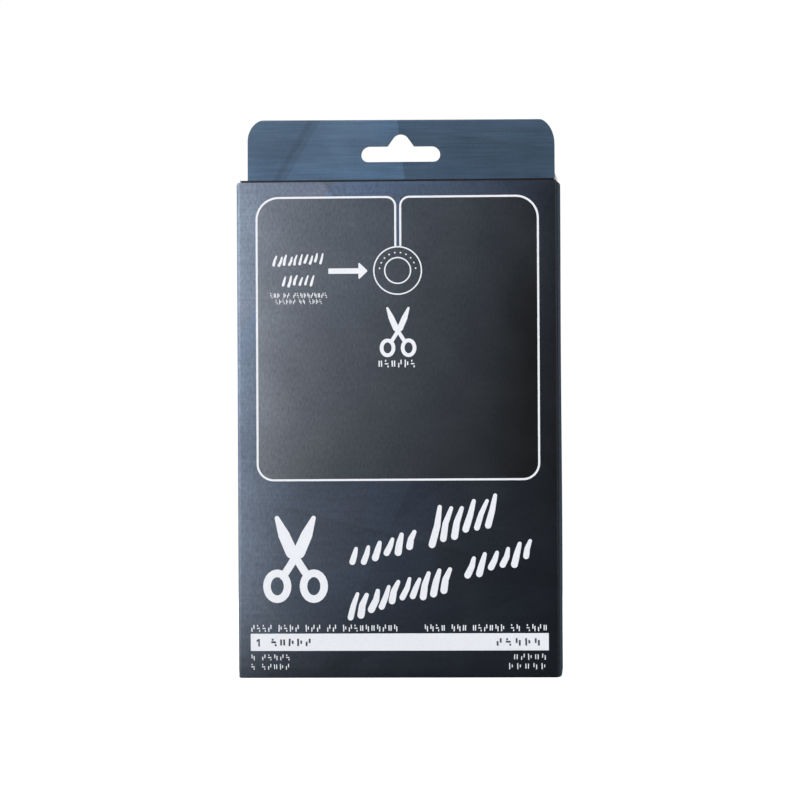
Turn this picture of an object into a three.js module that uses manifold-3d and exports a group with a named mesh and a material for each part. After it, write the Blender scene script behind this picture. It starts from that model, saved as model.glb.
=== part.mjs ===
// A barber cape in its hang-tab carton: a folded black cape with a rubber neck
// collar inside a slim printed box, whose double header has a display-hook slot.
// Millimetres, +Z up. The origin is the centre of the carton's base, the printed
// front faces -Y, and the header rises at the back. Each panel of the folded
// blank is its own solid, parted from the next one at its crease.

import * as THREE from 'three';
import { mergeVertices } from 'three/addons/utils/BufferGeometryUtils.js';
import Module from 'manifold-3d';

const wasm = await Module();
wasm.setup();

// Driving dimensions
const WIDTH = 127;
const DEPTH = 28;
const HEIGHT = 197.6;
const BOARD = 0.45;
const GAP = 0.3;

const HEADER_TOP = 224.6;
const HEADER_WIDTH = 124.6;
const HEADER_CORNER = 8.2;
const SHOULDER_FOOT = 199.6;
const SHOULDER_HEAD = 202.2;
const SHOULDER_ROUND = 0.8;

const SLOT_WIDTH = 32;
const SLOT_FLOOR = 207.4;
const SLOT_CEILING = 213.7;
const SLOT_LOW_CORNER = 2.7;
const SLOT_HIGH_CORNER = 3.5;
const RISE_HALF_WIDTH = 5.35;
const RISE_HEIGHT = 4.9;
const RISE_RADIUS = 3.6;

const LID_REVEAL = 0.8;
const TUCK_LENGTH = 12.5;
const TUCK_CLEARANCE = 0.8;
const TUCK_CORNER = 9;
const TUCK_TAPER = 1.5;
const DUST_LENGTH = 19;
const DUST_CORNER = 5;
const DUST_REAR_TAPER = 0.46;
const DUST_FRONT_TAPER = 0.12;
const DUST_FRONT_INSET = 0.6;
const BASE_DUST_LENGTH = 27;
const BASE_INNER_LENGTH = 20;
const GLUE_WIDTH = 15;
const GLUE_SLANT = 6;

const CAPE_WIDTH = 122;
const CAPE_FLOOR = 2.4;
const CAPE_TOP = 189.4;
const CAPE_FRONT = -5.1;
const CAPE_BACK = 13.2;
const CAPE_FOLD = 2.2;
const HEM_WIDTH = 8;
const HEM_THICK = 0.5;

const COLLAR_WIDTH = 50;
const COLLAR_THICK = 1.4;
const COLLAR_OUTER_LEAF = -11.3;
const COLLAR_INNER_LEAF = -9.6;
const COLLAR_REAR_LEAF = -6.9;
const COLLAR_FOOT = 8;
const COLLAR_HEAD = 176;
const COLLAR_OVERLAP = [62, 122];
const HOLE_COUNT = 10;
const HOLE_PITCH = 10;
const HOLE_RADIUS = 2.3;
const FIRST_HOLE = 68;
const HOLE_LINE = -12;
const CLOSED_HOLES = [4, 5];
const POST_RADIUS = 2;
const POST_CAP_RADIUS = 3.6;
const POST_CAP_THICK = 0.9;
const POST_FOOT_THICK = 0.6;
const BINDING_WIDTH = 6;

// Planes that several pieces share
const FRONT = -DEPTH / 2;
const BACK = DEPTH / 2;
const SIDE = WIDTH / 2;
const INNER_FRONT = FRONT + BOARD;
const INNER_BACK = BACK - BOARD;
const PLY_FACE = INNER_BACK - GAP - BOARD;
const LID_UNDERSIDE = HEIGHT - BOARD;
const LID_FRONT = INNER_FRONT + TUCK_CLEARANCE;
const LID_REAR = PLY_FACE - GAP;
const DUST_TOP = LID_UNDERSIDE - GAP;
const SIDE_TOP = DUST_TOP - BOARD - GAP;
const ARC_STEPS = 10;

const materials = {
  print: { color: 0x39434f, roughness: 0.38, metalness: 0 },
  board: { color: 0xd9d8d2, roughness: 0.85, metalness: 0 },
  cloth: { color: 0x141416, roughness: 0.8, metalness: 0 },
  tape: { color: 0x1c1c1f, roughness: 0.9, metalness: 0 },
  rubber: { color: 0x18181a, roughness: 0.55, metalness: 0 },
  post: { color: 0x0e0e10, roughness: 0.3, metalness: 0 },
};

// A shape drawn flat is stood up by the axes that its own X, Y and Z take.
const LYING = new THREE.Quaternion();
const FACING = turned([1, 0, 0], [0, 0, 1]);
const SIDEWAYS = turned([0, 1, 0], [0, 0, 1]);

function turned(along, up) {
  const x = new THREE.Vector3(...along);
  const y = new THREE.Vector3(...up);
  const basis = new THREE.Matrix4().makeBasis(x, y, x.clone().cross(y));
  return new THREE.Quaternion().setFromRotationMatrix(basis);
}

function solid(name, finish, geometry, turn, place) {
  const mesh = new THREE.Mesh(geometry, new THREE.MeshStandardMaterial(materials[finish]));
  mesh.name = name;
  mesh.quaternion.copy(turn);
  mesh.position.set(...place);
  return mesh;
}

function extruded(shape, depth) {
  return new THREE.ExtrudeGeometry(shape, { depth, bevelEnabled: false, curveSegments: ARC_STEPS });
}

// Boards: a sheet facing the front, one seen from the side, and one lying flat
function facingBoard(name, shape, frontFace, finish = 'print') {
  return solid(name, finish, extruded(shape, BOARD), FACING, [0, frontFace + BOARD, 0]);
}

function sideBoard(name, shape, leftFace, finish = 'print') {
  return solid(name, finish, extruded(shape, BOARD), SIDEWAYS, [leftFace, 0, 0]);
}

function lyingBoard(name, shape, underside, finish = 'print') {
  return solid(name, finish, extruded(shape, BOARD), LYING, [0, 0, underside]);
}

function rectangle(x0, y0, x1, y1) {
  return outline([[x0, y0], [x1, y0], [x1, y1], [x0, y1]]);
}

function outline(points) {
  return new THREE.Shape(points.map(([x, y]) => new THREE.Vector2(x, y)));
}

// A polygon whose corners are rounded: each point is [x, y, corner radius].
function rounded(points) {
  const shape = new THREE.Shape();
  points.forEach(([x, y, radius], i) => {
    const corner = new THREE.Vector2(x, y);
    const [px, py] = points.at(i - 1);
    const [nx, ny] = points[(i + 1) % points.length];
    const before = new THREE.Vector2(px, py).sub(corner).normalize();
    const after = new THREE.Vector2(nx, ny).sub(corner).normalize();
    const half = Math.acos(before.dot(after)) / 2;
    const start = corner.clone().addScaledVector(before, radius / Math.tan(half));
    if (i === 0) shape.moveTo(start.x, start.y);
    else shape.lineTo(start.x, start.y);
    if (radius > 0) {
      const inward = before.clone().add(after).normalize();
      const centre = corner.clone().addScaledVector(inward, radius / Math.sin(half));
      const end = corner.clone().addScaledVector(after, radius / Math.tan(half));
      const from = Math.atan2(start.y - centre.y, start.x - centre.x);
      const to = Math.atan2(end.y - centre.y, end.x - centre.x);
      const clockwise = before.cross(after) > 0;
      shape.absarc(centre.x, centre.y, radius, from, to, clockwise);
    }
  });
  shape.closePath();
  return shape;
}

// The display-hook slot: a bar with a rise at its middle, whose sloping sides run
// tangent into a round top
function hookSlot() {
  const half = SLOT_WIDTH / 2;
  const low = SLOT_LOW_CORNER;
  const high = SLOT_HIGH_CORNER;
  const centre = RISE_HEIGHT - RISE_RADIUS;
  const reach = Math.hypot(RISE_HALF_WIDTH, centre);
  const slope = Math.atan2(centre, RISE_HALF_WIDTH) + Math.asin(RISE_RADIUS / reach);
  const touch = Math.PI / 2 - slope;
  const path = new THREE.Path();
  path.moveTo(-half + low, SLOT_FLOOR);
  path.lineTo(half - low, SLOT_FLOOR);
  path.absarc(half - low, SLOT_FLOOR + low, low, -Math.PI / 2, 0, false);
  path.absarc(half - high, SLOT_CEILING - high, high, 0, Math.PI / 2, false);
  path.lineTo(RISE_HALF_WIDTH, SLOT_CEILING);
  path.absarc(0, SLOT_CEILING + centre, RISE_RADIUS, touch, Math.PI - touch, false);
  path.lineTo(-RISE_HALF_WIDTH, SLOT_CEILING);
  path.lineTo(-half + high, SLOT_CEILING);
  path.absarc(-half + high, SLOT_CEILING - high, high, Math.PI / 2, Math.PI, false);
  path.absarc(-half + low, SLOT_FLOOR + low, low, Math.PI, Math.PI * 1.5, false);
  return path;
}

// Each ply is the same outline above its foot. The rear one keeps the panel's full
// width for a little way on the right, up to a sloping shoulder.
function headerShape(foot, rightFoot) {
  const half = HEADER_WIDTH / 2;
  const shape = rounded([
    [-half, foot, 0],
    ...rightFoot,
    [half, HEADER_TOP, HEADER_CORNER],
    [-half, HEADER_TOP, HEADER_CORNER],
  ]);
  shape.holes.push(hookSlot());
  return shape;
}

function rearPlyShape() {
  const foot = HEIGHT + GAP;
  return headerShape(foot, [
    [SIDE, foot, 0],
    [SIDE, SHOULDER_FOOT, SHOULDER_ROUND],
    [HEADER_WIDTH / 2, SHOULDER_HEAD, SHOULDER_ROUND],
  ]);
}

function frontPlyShape() {
  return headerShape(LID_UNDERSIDE, [[HEADER_WIDTH / 2, LID_UNDERSIDE, 0]]);
}

// Carton body
function body() {
  const sideSpan = [INNER_FRONT + GAP, INNER_BACK - GAP];
  const glueFace = -SIDE + BOARD + GAP;
  const side = () => rectangle(sideSpan[0], 0, sideSpan[1], SIDE_TOP);
  const glue = outline([
    [sideSpan[1], CAPE_FLOOR],
    [sideSpan[1], CAPE_TOP],
    [sideSpan[1] - GLUE_WIDTH, CAPE_TOP - GLUE_SLANT],
    [sideSpan[1] - GLUE_WIDTH, CAPE_FLOOR + GLUE_SLANT],
  ]);
  return [
    facingBoard('front_panel', rectangle(-SIDE, 0, SIDE, HEIGHT - LID_REVEAL), FRONT),
    facingBoard('back_panel', rectangle(-SIDE, 0, SIDE, HEIGHT), INNER_BACK),
    sideBoard('left_side_panel', side(), -SIDE),
    sideBoard('right_side_panel', side(), SIDE - BOARD),
    sideBoard('glue_flap', glue, glueFace, 'board'),
    facingBoard('header_rear_ply', rearPlyShape(), INNER_BACK),
    facingBoard('header_front_ply', frontPlyShape(), PLY_FACE),
  ];
}

// Top closure: the lid, its tuck flap and the dust flaps under it
function topClosure() {
  const lidHalf = SIDE - 2 * GAP;
  const tuckHalf = lidHalf - GAP - BOARD;
  const tuckTop = LID_UNDERSIDE - GAP;
  const tuckFoot = tuckTop - TUCK_LENGTH;
  const tuck = rounded([
    [-tuckHalf, tuckTop, 0],
    [-tuckHalf + TUCK_TAPER, tuckFoot, TUCK_CORNER],
    [tuckHalf - TUCK_TAPER, tuckFoot, TUCK_CORNER],
    [tuckHalf, tuckTop, 0],
  ]);
  return [
    lyingBoard('top_lid', rectangle(-lidHalf, LID_FRONT, lidHalf, LID_REAR), LID_UNDERSIDE),
    facingBoard('top_tuck_flap', tuck, LID_FRONT),
    lyingBoard('top_left_dust_flap', dustShape(-1), DUST_TOP - BOARD),
    lyingBoard('top_right_dust_flap', dustShape(1), DUST_TOP - BOARD),
  ];
}

// A dust flap is cut back towards its tip so that it passes the lid and the tuck flap.
function dustShape(side) {
  const root = SIDE - GAP / 3;
  const rear = LID_REAR - GAP / 3;
  const front = LID_FRONT + BOARD + DUST_FRONT_INSET;
  const tip = root - DUST_LENGTH;
  return rounded([
    [side * root, front, 0],
    [side * root, rear, 0],
    [side * tip, rear - DUST_REAR_TAPER * DUST_LENGTH, DUST_CORNER],
    [side * tip, front + DUST_FRONT_TAPER * DUST_LENGTH, DUST_CORNER],
  ]);
}

// Sealed base: outer flap from the front panel, inner flap from the back, dust flaps above
function base() {
  const half = SIDE - BOARD - GAP;
  const front = INNER_FRONT + GAP;
  const back = INNER_BACK - GAP;
  const step = BOARD + GAP;
  const dust = (side) => rectangle(side * half, front, side * (half - BASE_DUST_LENGTH), back);
  return [
    lyingBoard('bottom_outer_flap', rectangle(-half, front, half, back), 0),
    lyingBoard('bottom_inner_flap', rectangle(-half, back - BASE_INNER_LENGTH, half, back), step),
    lyingBoard('bottom_left_dust_flap', dust(-1), 2 * step, 'board'),
    lyingBoard('bottom_right_dust_flap', dust(1), 2 * step, 'board'),
  ];
}

// The folded cape, and the hem tape on its outermost leaf
function cape() {
  const half = CAPE_WIDTH / 2;
  const block = rounded([
    [CAPE_FRONT, CAPE_FLOOR, CAPE_FOLD],
    [CAPE_BACK, CAPE_FLOOR, CAPE_FOLD],
    [CAPE_BACK, CAPE_TOP, CAPE_FOLD],
    [CAPE_FRONT, CAPE_TOP, CAPE_FOLD],
  ]);
  const edge = half - GAP;
  const top = CAPE_TOP - CAPE_FOLD;
  const foot = CAPE_FLOOR + CAPE_FOLD;
  const hem = outline([
    [edge, foot],
    [edge, top],
    [-edge, top],
    [-edge, top - HEM_WIDTH],
    [edge - HEM_WIDTH, top - HEM_WIDTH],
    [edge - HEM_WIDTH, foot],
  ]);
  return [
    solid('cape_cloth', 'cloth', extruded(block, CAPE_WIDTH), SIDEWAYS, [-half, 0, 0]),
    solid('hem_binding', 'tape', extruded(hem, HEM_THICK), FACING, [0, CAPE_FRONT - GAP, 0]),
  ];
}

// The collar band's section: an outer leaf, over the top, down the rear leaf and
// up an inner leaf that overlaps the outer one.
function bandShape() {
  const half = COLLAR_THICK / 2;
  const headRadius = (COLLAR_REAR_LEAF - COLLAR_OUTER_LEAF) / 2;
  const headCentre = (COLLAR_REAR_LEAF + COLLAR_OUTER_LEAF) / 2;
  const footRadius = (COLLAR_REAR_LEAF - COLLAR_INNER_LEAF) / 2;
  const footCentre = (COLLAR_REAR_LEAF + COLLAR_INNER_LEAF) / 2;
  const [outerEnd, innerEnd] = COLLAR_OVERLAP;
  const shape = new THREE.Shape();
  shape.moveTo(COLLAR_OUTER_LEAF - half, outerEnd);
  shape.absarc(headCentre, COLLAR_HEAD, headRadius + half, Math.PI, 0, true);
  shape.absarc(footCentre, COLLAR_FOOT, footRadius + half, 0, -Math.PI, true);
  shape.lineTo(COLLAR_INNER_LEAF - half, innerEnd);
  shape.lineTo(COLLAR_INNER_LEAF + half, innerEnd);
  shape.absarc(footCentre, COLLAR_FOOT, footRadius - half, -Math.PI, 0, false);
  shape.absarc(headCentre, COLLAR_HEAD, headRadius - half, 0, Math.PI, false);
  shape.lineTo(COLLAR_OUTER_LEAF + half, outerEnd);
  shape.closePath();
  return shape;
}

function toManifold(geometry) {
  const bare = geometry.clone();
  bare.deleteAttribute('normal');
  bare.deleteAttribute('uv');
  const merged = mergeVertices(bare);
  return new wasm.Manifold(new wasm.Mesh({
    numProp: 3,
    vertProperties: new Float32Array(merged.attributes.position.array),
    triVerts: new Uint32Array(merged.index.array),
  }));
}

function toGeometry(manifold) {
  const mesh = manifold.getMesh();
  const geometry = new THREE.BufferGeometry();
  geometry.setAttribute('position', new THREE.BufferAttribute(mesh.vertProperties, 3));
  geometry.setIndex(new THREE.BufferAttribute(mesh.triVerts, 1));
  geometry.computeVertexNormals();
  return geometry;
}

// The tool that cuts one adjusting hole, in the band's own axes (Y, Z, X)
function holeCutter(index, nearLeaf, farLeaf) {
  const reach = COLLAR_THICK / 2 + GAP / 2;
  const length = farLeaf - nearLeaf + 2 * reach;
  const cutter = new THREE.CylinderGeometry(HOLE_RADIUS, HOLE_RADIUS, length, 16);
  cutter.rotateZ(Math.PI / 2);
  cutter.translate(
    (nearLeaf + farLeaf) / 2,
    FIRST_HOLE + HOLE_PITCH * index,
    HOLE_LINE + COLLAR_WIDTH / 2,
  );
  return toManifold(cutter);
}

function collar() {
  let band = toManifold(extruded(bandShape(), COLLAR_WIDTH));
  for (let index = 0; index < HOLE_COUNT; index += 1) {
    const far = CLOSED_HOLES.includes(index) ? COLLAR_INNER_LEAF : COLLAR_OUTER_LEAF;
    band = band.subtract(holeCutter(index, COLLAR_OUTER_LEAF, far));
  }
  const left = -COLLAR_WIDTH / 2;
  const seam = COLLAR_WIDTH / 2 + GAP;
  return [
    solid('neck_collar', 'rubber', toGeometry(band), SIDEWAYS, [left, 0, 0]),
    solid('neckline_binding', 'tape', extruded(bandShape(), BINDING_WIDTH), SIDEWAYS, [seam, 0, 0]),
    ...CLOSED_HOLES.map((index, i) => closurePost(i + 1, FIRST_HOLE + HOLE_PITCH * index)),
  ];
}

// A closing post: a cap outside the band, a shaft through both leaves, and a foot
function closurePost(number, height) {
  const capFace = COLLAR_OUTER_LEAF - COLLAR_THICK / 2 - GAP;
  const footFace = COLLAR_INNER_LEAF + COLLAR_THICK / 2 + GAP;
  const reach = footFace - capFace;
  const profile = [
    [0, -POST_CAP_THICK],
    [POST_CAP_RADIUS - GAP, -POST_CAP_THICK],
    [POST_CAP_RADIUS, -POST_CAP_THICK / 2],
    [POST_CAP_RADIUS, 0],
    [POST_RADIUS, 0],
    [POST_RADIUS, reach],
    [POST_CAP_RADIUS, reach],
    [POST_CAP_RADIUS, reach + POST_FOOT_THICK],
    [0, reach + POST_FOOT_THICK],
  ].map(([r, y]) => new THREE.Vector2(r, y));
  const post = new THREE.LatheGeometry(profile, 20);
  return solid(`closure_post_${number}`, 'post', post, LYING, [HOLE_LINE, capFace, height]);
}

const boxedCape = new THREE.Group();
boxedCape.add(...body(), ...topClosure(), ...base(), ...cape(), ...collar());

export default boxedCape;
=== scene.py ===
# A folded barber cape in its hang-tab carton. The carton's panels are remade as creased
# board, printed outside and raw inside, and the white print lies on them as a thin film
# of ink. Metres, +Z up, front towards -Y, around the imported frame.

import math

import bmesh
import bpy
import numpy as np
from mathutils import Matrix, Vector, geometry


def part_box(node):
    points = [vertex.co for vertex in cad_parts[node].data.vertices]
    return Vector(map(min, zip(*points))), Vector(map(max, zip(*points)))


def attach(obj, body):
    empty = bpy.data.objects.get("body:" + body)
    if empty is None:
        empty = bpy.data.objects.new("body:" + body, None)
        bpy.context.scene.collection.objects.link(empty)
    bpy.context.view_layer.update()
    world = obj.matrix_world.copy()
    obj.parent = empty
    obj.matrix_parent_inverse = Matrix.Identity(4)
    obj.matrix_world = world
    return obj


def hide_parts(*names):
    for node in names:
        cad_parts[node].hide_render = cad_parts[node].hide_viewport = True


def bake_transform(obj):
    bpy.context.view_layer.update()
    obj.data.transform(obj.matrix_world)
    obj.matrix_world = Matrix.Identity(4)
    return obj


bl_info = {
    "name": "Boxed barber cape",
    "version": (1, 0, 0),
    "blender": (4, 5, 0),
    "location": "3D View > Sidebar > Boxed cape",
    "description": "Builds a hang-tab carton with a folded cape and its rubber collar",
    "category": "Add Mesh",
}

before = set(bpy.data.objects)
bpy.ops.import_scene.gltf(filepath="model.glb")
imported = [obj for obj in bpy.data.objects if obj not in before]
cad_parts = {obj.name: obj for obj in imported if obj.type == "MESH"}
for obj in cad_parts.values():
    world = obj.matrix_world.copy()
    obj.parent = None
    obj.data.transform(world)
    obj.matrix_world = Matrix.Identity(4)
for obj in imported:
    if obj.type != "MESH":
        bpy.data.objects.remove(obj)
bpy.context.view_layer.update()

MM = 0.001
WELD = 1e-6

# Planes and sizes taken from the frame
FRONT_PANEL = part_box("front_panel")
BACK_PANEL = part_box("back_panel")
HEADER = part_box("header_front_ply")
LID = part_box("top_lid")
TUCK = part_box("top_tuck_flap")
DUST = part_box("top_right_dust_flap")
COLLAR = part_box("neck_collar")
FRONT = FRONT_PANEL[0].y
BACK = BACK_PANEL[1].y
SIDE = BACK_PANEL[1].x
BOARD = FRONT_PANEL[1].y - FRONT
LID_TOP = LID[1].z
PLY_FACE = HEADER[0].y

# The header's fold, the creases at both ends of the lid, and its spring
FOLD_RADIUS = (BACK - PLY_FACE) / 2
FOLD_MIDDLE = (BACK + PLY_FACE) / 2
CROWN = HEADER[1].z - FOLD_RADIUS
VALLEY = 0.4 * MM
HEADER_FOOT = LID_TOP + VALLEY
RISE = CROWN - HEADER_FOOT
TUCK_ROUND = 0.6 * MM
LID_SPRING = 0.20 * MM
DUST_REAR = DUST[1].y - 0.6 * MM

# Finish marks on a board's faces
OUTSIDE, INSIDE, CUT_EDGE = 0, 1, 2


# ---- sizes a user may change


def size(name, description, default):
    """A length that a user may change."""
    return bpy.props.FloatProperty(name=name, description=description, default=default, unit="LENGTH")


class CartonSizes(bpy.types.PropertyGroup):
    grid: size("Panel grid", "Spacing of the mesh lines on the flat boards", 3.2 * MM)
    crease: size("Upright crease radius", "Outer radius of the four upright creases", 0.9 * MM)
    foot_crease: size("Foot crease radius", "Outer radius of the creases round the base", 0.7 * MM)
    shoulder_crease: size("Dust flap crease", "Outer radius of the creases over the sides", 0.7 * MM)
    bow: size("Panel bow", "How far the packed cape pushes the side walls out", 1.10 * MM)
    flare: size("Left flare", "How far the left wall leans out at its head", 0.5 * MM)


class PrintSizes(bpy.types.PropertyGroup):
    line: size("Outline width", "Width of the white line that draws the cape", 0.80 * MM)
    film: size("Ink film", "Thickness of the white ink on the board", 0.03 * MM)
    facet: size("Facet size", "Typical width of the printed facets", 62 * MM)
    white: bpy.props.FloatVectorProperty(
        name="White ink",
        description="Colour of the white ink",
        default=(0.65, 0.665, 0.705),
        subtype="COLOR",
    )


class CapeSizes(bpy.types.PropertyGroup):
    flat_width: size("Cape width", "Width of the cape laid flat", 1.27)
    flat_length: size("Cape length", "Length of the cape laid flat", 1.50)
    stitch: size("Stitch length", "Length of one stitch on the tapes", 2.6 * MM)
    leaves: bpy.props.IntProperty(
        name="Leaves across",
        description="How many leaves the cape is folded into across its width",
        default=11,
    )
    turns: bpy.props.IntProperty(
        name="Leaves along",
        description="How many leaves the folded strip is turned into along its length",
        default=8,
    )


# ---- flat shapes


def rectangle(low_u, low_v, high_u, high_v):
    return [(low_u, low_v), (high_u, low_v), (high_u, high_v), (low_u, high_v)]


def arc(centre, radius, start, end, steps):
    """Points of an arc from one angle to another, in degrees."""
    turns = np.radians(np.linspace(start, end, steps + 1))
    return [(centre[0] + radius * math.cos(t), centre[1] + radius * math.sin(t)) for t in turns]


def disc(centre, radius, sides=14):
    return arc(centre, radius, 0, 360, sides)[:-1]


def without_repeats(points):
    kept = []
    for point in points:
        if not kept or math.dist(point, kept[-1]) > WELD:
            kept.append(point)
    if math.dist(kept[0], kept[-1]) < WELD:
        kept.pop()
    return kept


def rounded(corners, steps=8):
    """A polygon with rounded corners: each corner is (u, v, radius)."""
    points = []
    for index, (u, v, radius) in enumerate(corners):
        if radius == 0:
            points.append((u, v))
            continue
        corner = Vector((u, v))
        before = (Vector(corners[index - 1][:2]) - corner).normalized()
        after = (Vector(corners[(index + 1) % len(corners)][:2]) - corner).normalized()
        half = math.acos(max(-1, min(1, before.dot(after)))) / 2
        centre = corner + (before + after).normalized() * (radius / math.sin(half))
        first, last = (corner + way * (radius / math.tan(half)) - centre for way in (before, after))
        start = math.degrees(math.atan2(first.y, first.x))
        sweep = math.degrees(math.atan2(last.y, last.x)) - start
        sweep = (sweep + 180) % 360 - 180
        points += arc(centre, radius, start, start + sweep, steps)
    return without_repeats(points)


def oval_corner(corner, width, height, inward, steps=10):
    """An oval corner's points, from the top of the board to its side."""
    (u, v), (in_u, in_v) = corner, inward
    turns = np.linspace(0, math.pi / 2, steps + 1)
    return [
        (u + in_u * width * (1 - math.sin(t)), v + in_v * height * (1 - math.cos(t))) for t in turns
    ]


def dense(points, spacing=2 * MM):
    """The same line with no step longer than the spacing."""
    result = [points[0]]
    for (u, v), (next_u, next_v) in zip(points, points[1:]):
        steps = max(1, math.ceil(math.dist((u, v), (next_u, next_v)) / spacing))
        for step in range(1, steps + 1):
            result.append((u + (next_u - u) * step / steps, v + (next_v - v) * step / steps))
    return result


def grid_lines(low, high, spacing, dense_spans=()):
    """Cutting positions across a span, with extra ones where a board bends."""
    count = max(1, round((high - low) / spacing))
    lines = list(np.linspace(low, high, count + 1)[1:-1])
    for start, end, steps in dense_spans:
        lines = [line for line in lines if not start - WELD < line < end + WELD]
        lines += list(np.linspace(start, end, steps + 1))
    return sorted(line for line in lines if low + WELD < line < high - WELD)


def cut_along(bm, cuts_u, cuts_v):
    """Cuts a flat mesh along grid lines."""
    for direction, cuts in ((Vector((1, 0, 0)), cuts_u), (Vector((0, 1, 0)), cuts_v)):
        for cut in cuts:
            whole = bm.verts[:] + bm.edges[:] + bm.faces[:]
            bmesh.ops.bisect_plane(bm, geom=whole, dist=1e-8, plane_co=direction * cut, plane_no=direction)


def gridded(bm, spacing=3 * MM):
    """Cuts a flat mesh finely enough to follow the panel's bow."""
    points = np.array([v.co for v in bm.verts])
    low, high = points.min(0), points.max(0)
    cut_along(bm, *(grid_lines(low[k], high[k], spacing) for k in (0, 1)))
    return bm


def filled(outline, holes=()):
    bm = bmesh.new()
    for loop in (outline, *holes):
        corners = [bm.verts.new((u, v, 0)) for u, v in loop]
        for a, b in zip(corners, corners[1:] + corners[:1]):
            bm.edges.new((a, b))
    bmesh.ops.triangle_fill(bm, use_beauty=True, use_dissolve=False, edges=bm.edges[:])
    return bm


def flat_sheet(outline, cuts_u, cuts_v, holes=()):
    """A filled flat shape cut along grid lines, with the triangles of each cell joined."""
    bm = filled(outline, holes)
    cut_along(bm, cuts_u, cuts_v)
    lines = [np.array(cuts or [1e3]) for cuts in (cuts_u, cuts_v)]

    def on_line(edge):
        a, b = (v.co for v in edge.verts)
        return any(abs(a[k] - b[k]) < WELD and np.abs(lines[k] - a[k]).min() < WELD for k in (0, 1))

    def straight(vertex):
        edges = vertex.link_edges
        if len(edges) != 2 or all(len(e.link_faces) == 1 for e in edges):
            return False
        ends = [(e.other_vert(vertex).co - vertex.co).normalized() for e in edges]
        return ends[0].dot(ends[1]) < -0.9999

    spare = [e for e in bm.edges if len(e.link_faces) == 2 and not on_line(e)]
    bmesh.ops.dissolve_edges(bm, edges=spare, use_verts=False, use_face_split=False)
    bmesh.ops.dissolve_verts(bm, verts=[v for v in bm.verts if straight(v)])
    return bm


def union(polygons):
    """One flat mesh covering several overlapping convex polygons."""
    points, faces = [], []
    for polygon in polygons:
        faces.append(list(range(len(points), len(points) + len(polygon))))
        points += [Vector((u / MM, v / MM)) for u, v in polygon]
    result = geometry.delaunay_2d_cdt(points, [], faces, 1, 1e-4)
    bm = bmesh.new()
    corners = [bm.verts.new((p.x * MM, p.y * MM, 0)) for p in result[0]]
    for triangle, sources in zip(result[2], result[5]):
        if sources:
            bm.faces.new([corners[i] for i in triangle])
    bmesh.ops.delete(bm, geom=[v for v in bm.verts if not v.link_faces], context="VERTS")
    return bm


def stroke(points, widths):
    """Convex polygons that together cover a brush line with round joints."""
    polygons = []
    for index, (point, width) in enumerate(zip(points, widths)):
        polygons.append(disc(point, width / 2))
        last, here = Vector(points[index - 1]), Vector(point)
        run = here - last
        if index and run.length > WELD:
            side = Vector((-run.y, run.x)).normalized()
            a, b = side * (widths[index - 1] / 2), side * (width / 2)
            polygons.append([tuple(end) for end in (last + a, last - a, here - b, here + b)])
    return polygons


def ribbon(points, width, closed=False):
    """A line of even width as one strip of faces, following the points."""
    count = len(points)
    bm = bmesh.new()
    rails = []
    for index, point in enumerate(points):
        last = points[index - 1] if index or closed else point
        following = points[(index + 1) % count] if index < count - 1 or closed else point
        run = (Vector(following) - Vector(last)).normalized()
        side = Vector((-run.y, run.x)) * (width / 2)
        ends = (Vector(point) + side, Vector(point) - side)
        rails.append([bm.verts.new((end.x, end.y, 0)) for end in ends])
    following = rails[1:] + rails[:1] if closed else rails[1:]
    for (left, right), (next_left, next_right) in zip(rails, following):
        bm.faces.new((left, right, next_right, next_left))
    return bm


# ---- boards and films


def enclosed(mesh):
    """The signed volume inside a closed mesh."""
    mesh.calc_loop_triangles()
    points = np.array([v.co for v in mesh.vertices])
    corners = np.array([t.vertices for t in mesh.loop_triangles])
    a, b, c = (points[corners[:, k]] for k in range(3))
    return float(np.einsum("ij,ij->i", a, np.cross(b, c)).sum()) / 6


def linked(name, data):
    made = bpy.data.objects.new(name, data)
    bpy.context.scene.collection.objects.link(made)
    return made


def piece(name, mesh, finishes, sharp=30):
    """A shown object from a mesh, with its finishes and soft shading between creases."""
    for finish in finishes:
        mesh.materials.append(material(finish))
    mesh.shade_smooth()
    mesh.set_sharp_from_angle(angle=math.radians(sharp))
    return linked(name, mesh)


def settle(made, slot, *nodes, body="carton"):
    """Says which body a piece rides on, and the nodes it stands for. Its slot is not used."""
    if body:
        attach(made, body)
    if nodes:
        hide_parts(*nodes)
    return made


def thicken(flat, name, place, thickness, finishes, sharp=30):
    """Wraps a flat mesh into a closed skin. place(u, v, depth) gives a point of it."""
    flat.verts.index_update()
    points = [tuple(place(v.co.x, v.co.y, depth)) for depth in (0.0, thickness) for v in flat.verts]
    count = len(flat.verts)
    faces, marks = [], []
    for face in flat.faces:
        ring = [v.index for v in face.verts]
        faces += [ring, [i + count for i in reversed(ring)]]
        marks += [OUTSIDE, INSIDE]
    for edge in flat.edges:
        if len(edge.link_faces) == 1:
            ring = [v.index for v in edge.link_faces[0].verts]
            a, b = (v.index for v in edge.verts)
            if ring[(ring.index(a) + 1) % len(ring)] != b:
                a, b = b, a
            faces.append([b, a, a + count, b + count])
            marks.append(CUT_EDGE)
    flat.free()
    mesh = bpy.data.meshes.new(name)
    mesh.from_pydata(points, [], faces)
    mesh.update()
    mesh.polygons.foreach_set("material_index", marks)
    if enclosed(mesh) < 0:
        mesh.flip_normals()
    return piece(name, mesh, finishes, sharp)


def roll(distance, start, radius, depth):
    """Where a board lies past a crease that begins at start: how far along, and how deep."""
    if distance <= start:
        return distance, depth
    turn = (distance - start) / radius
    reach = radius - depth
    return start + reach * math.sin(turn), radius - reach * math.cos(turn)


def half_crease(radius):
    """Length of the outer face over half of a right-angled crease."""
    return radius * math.pi / 4


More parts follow.
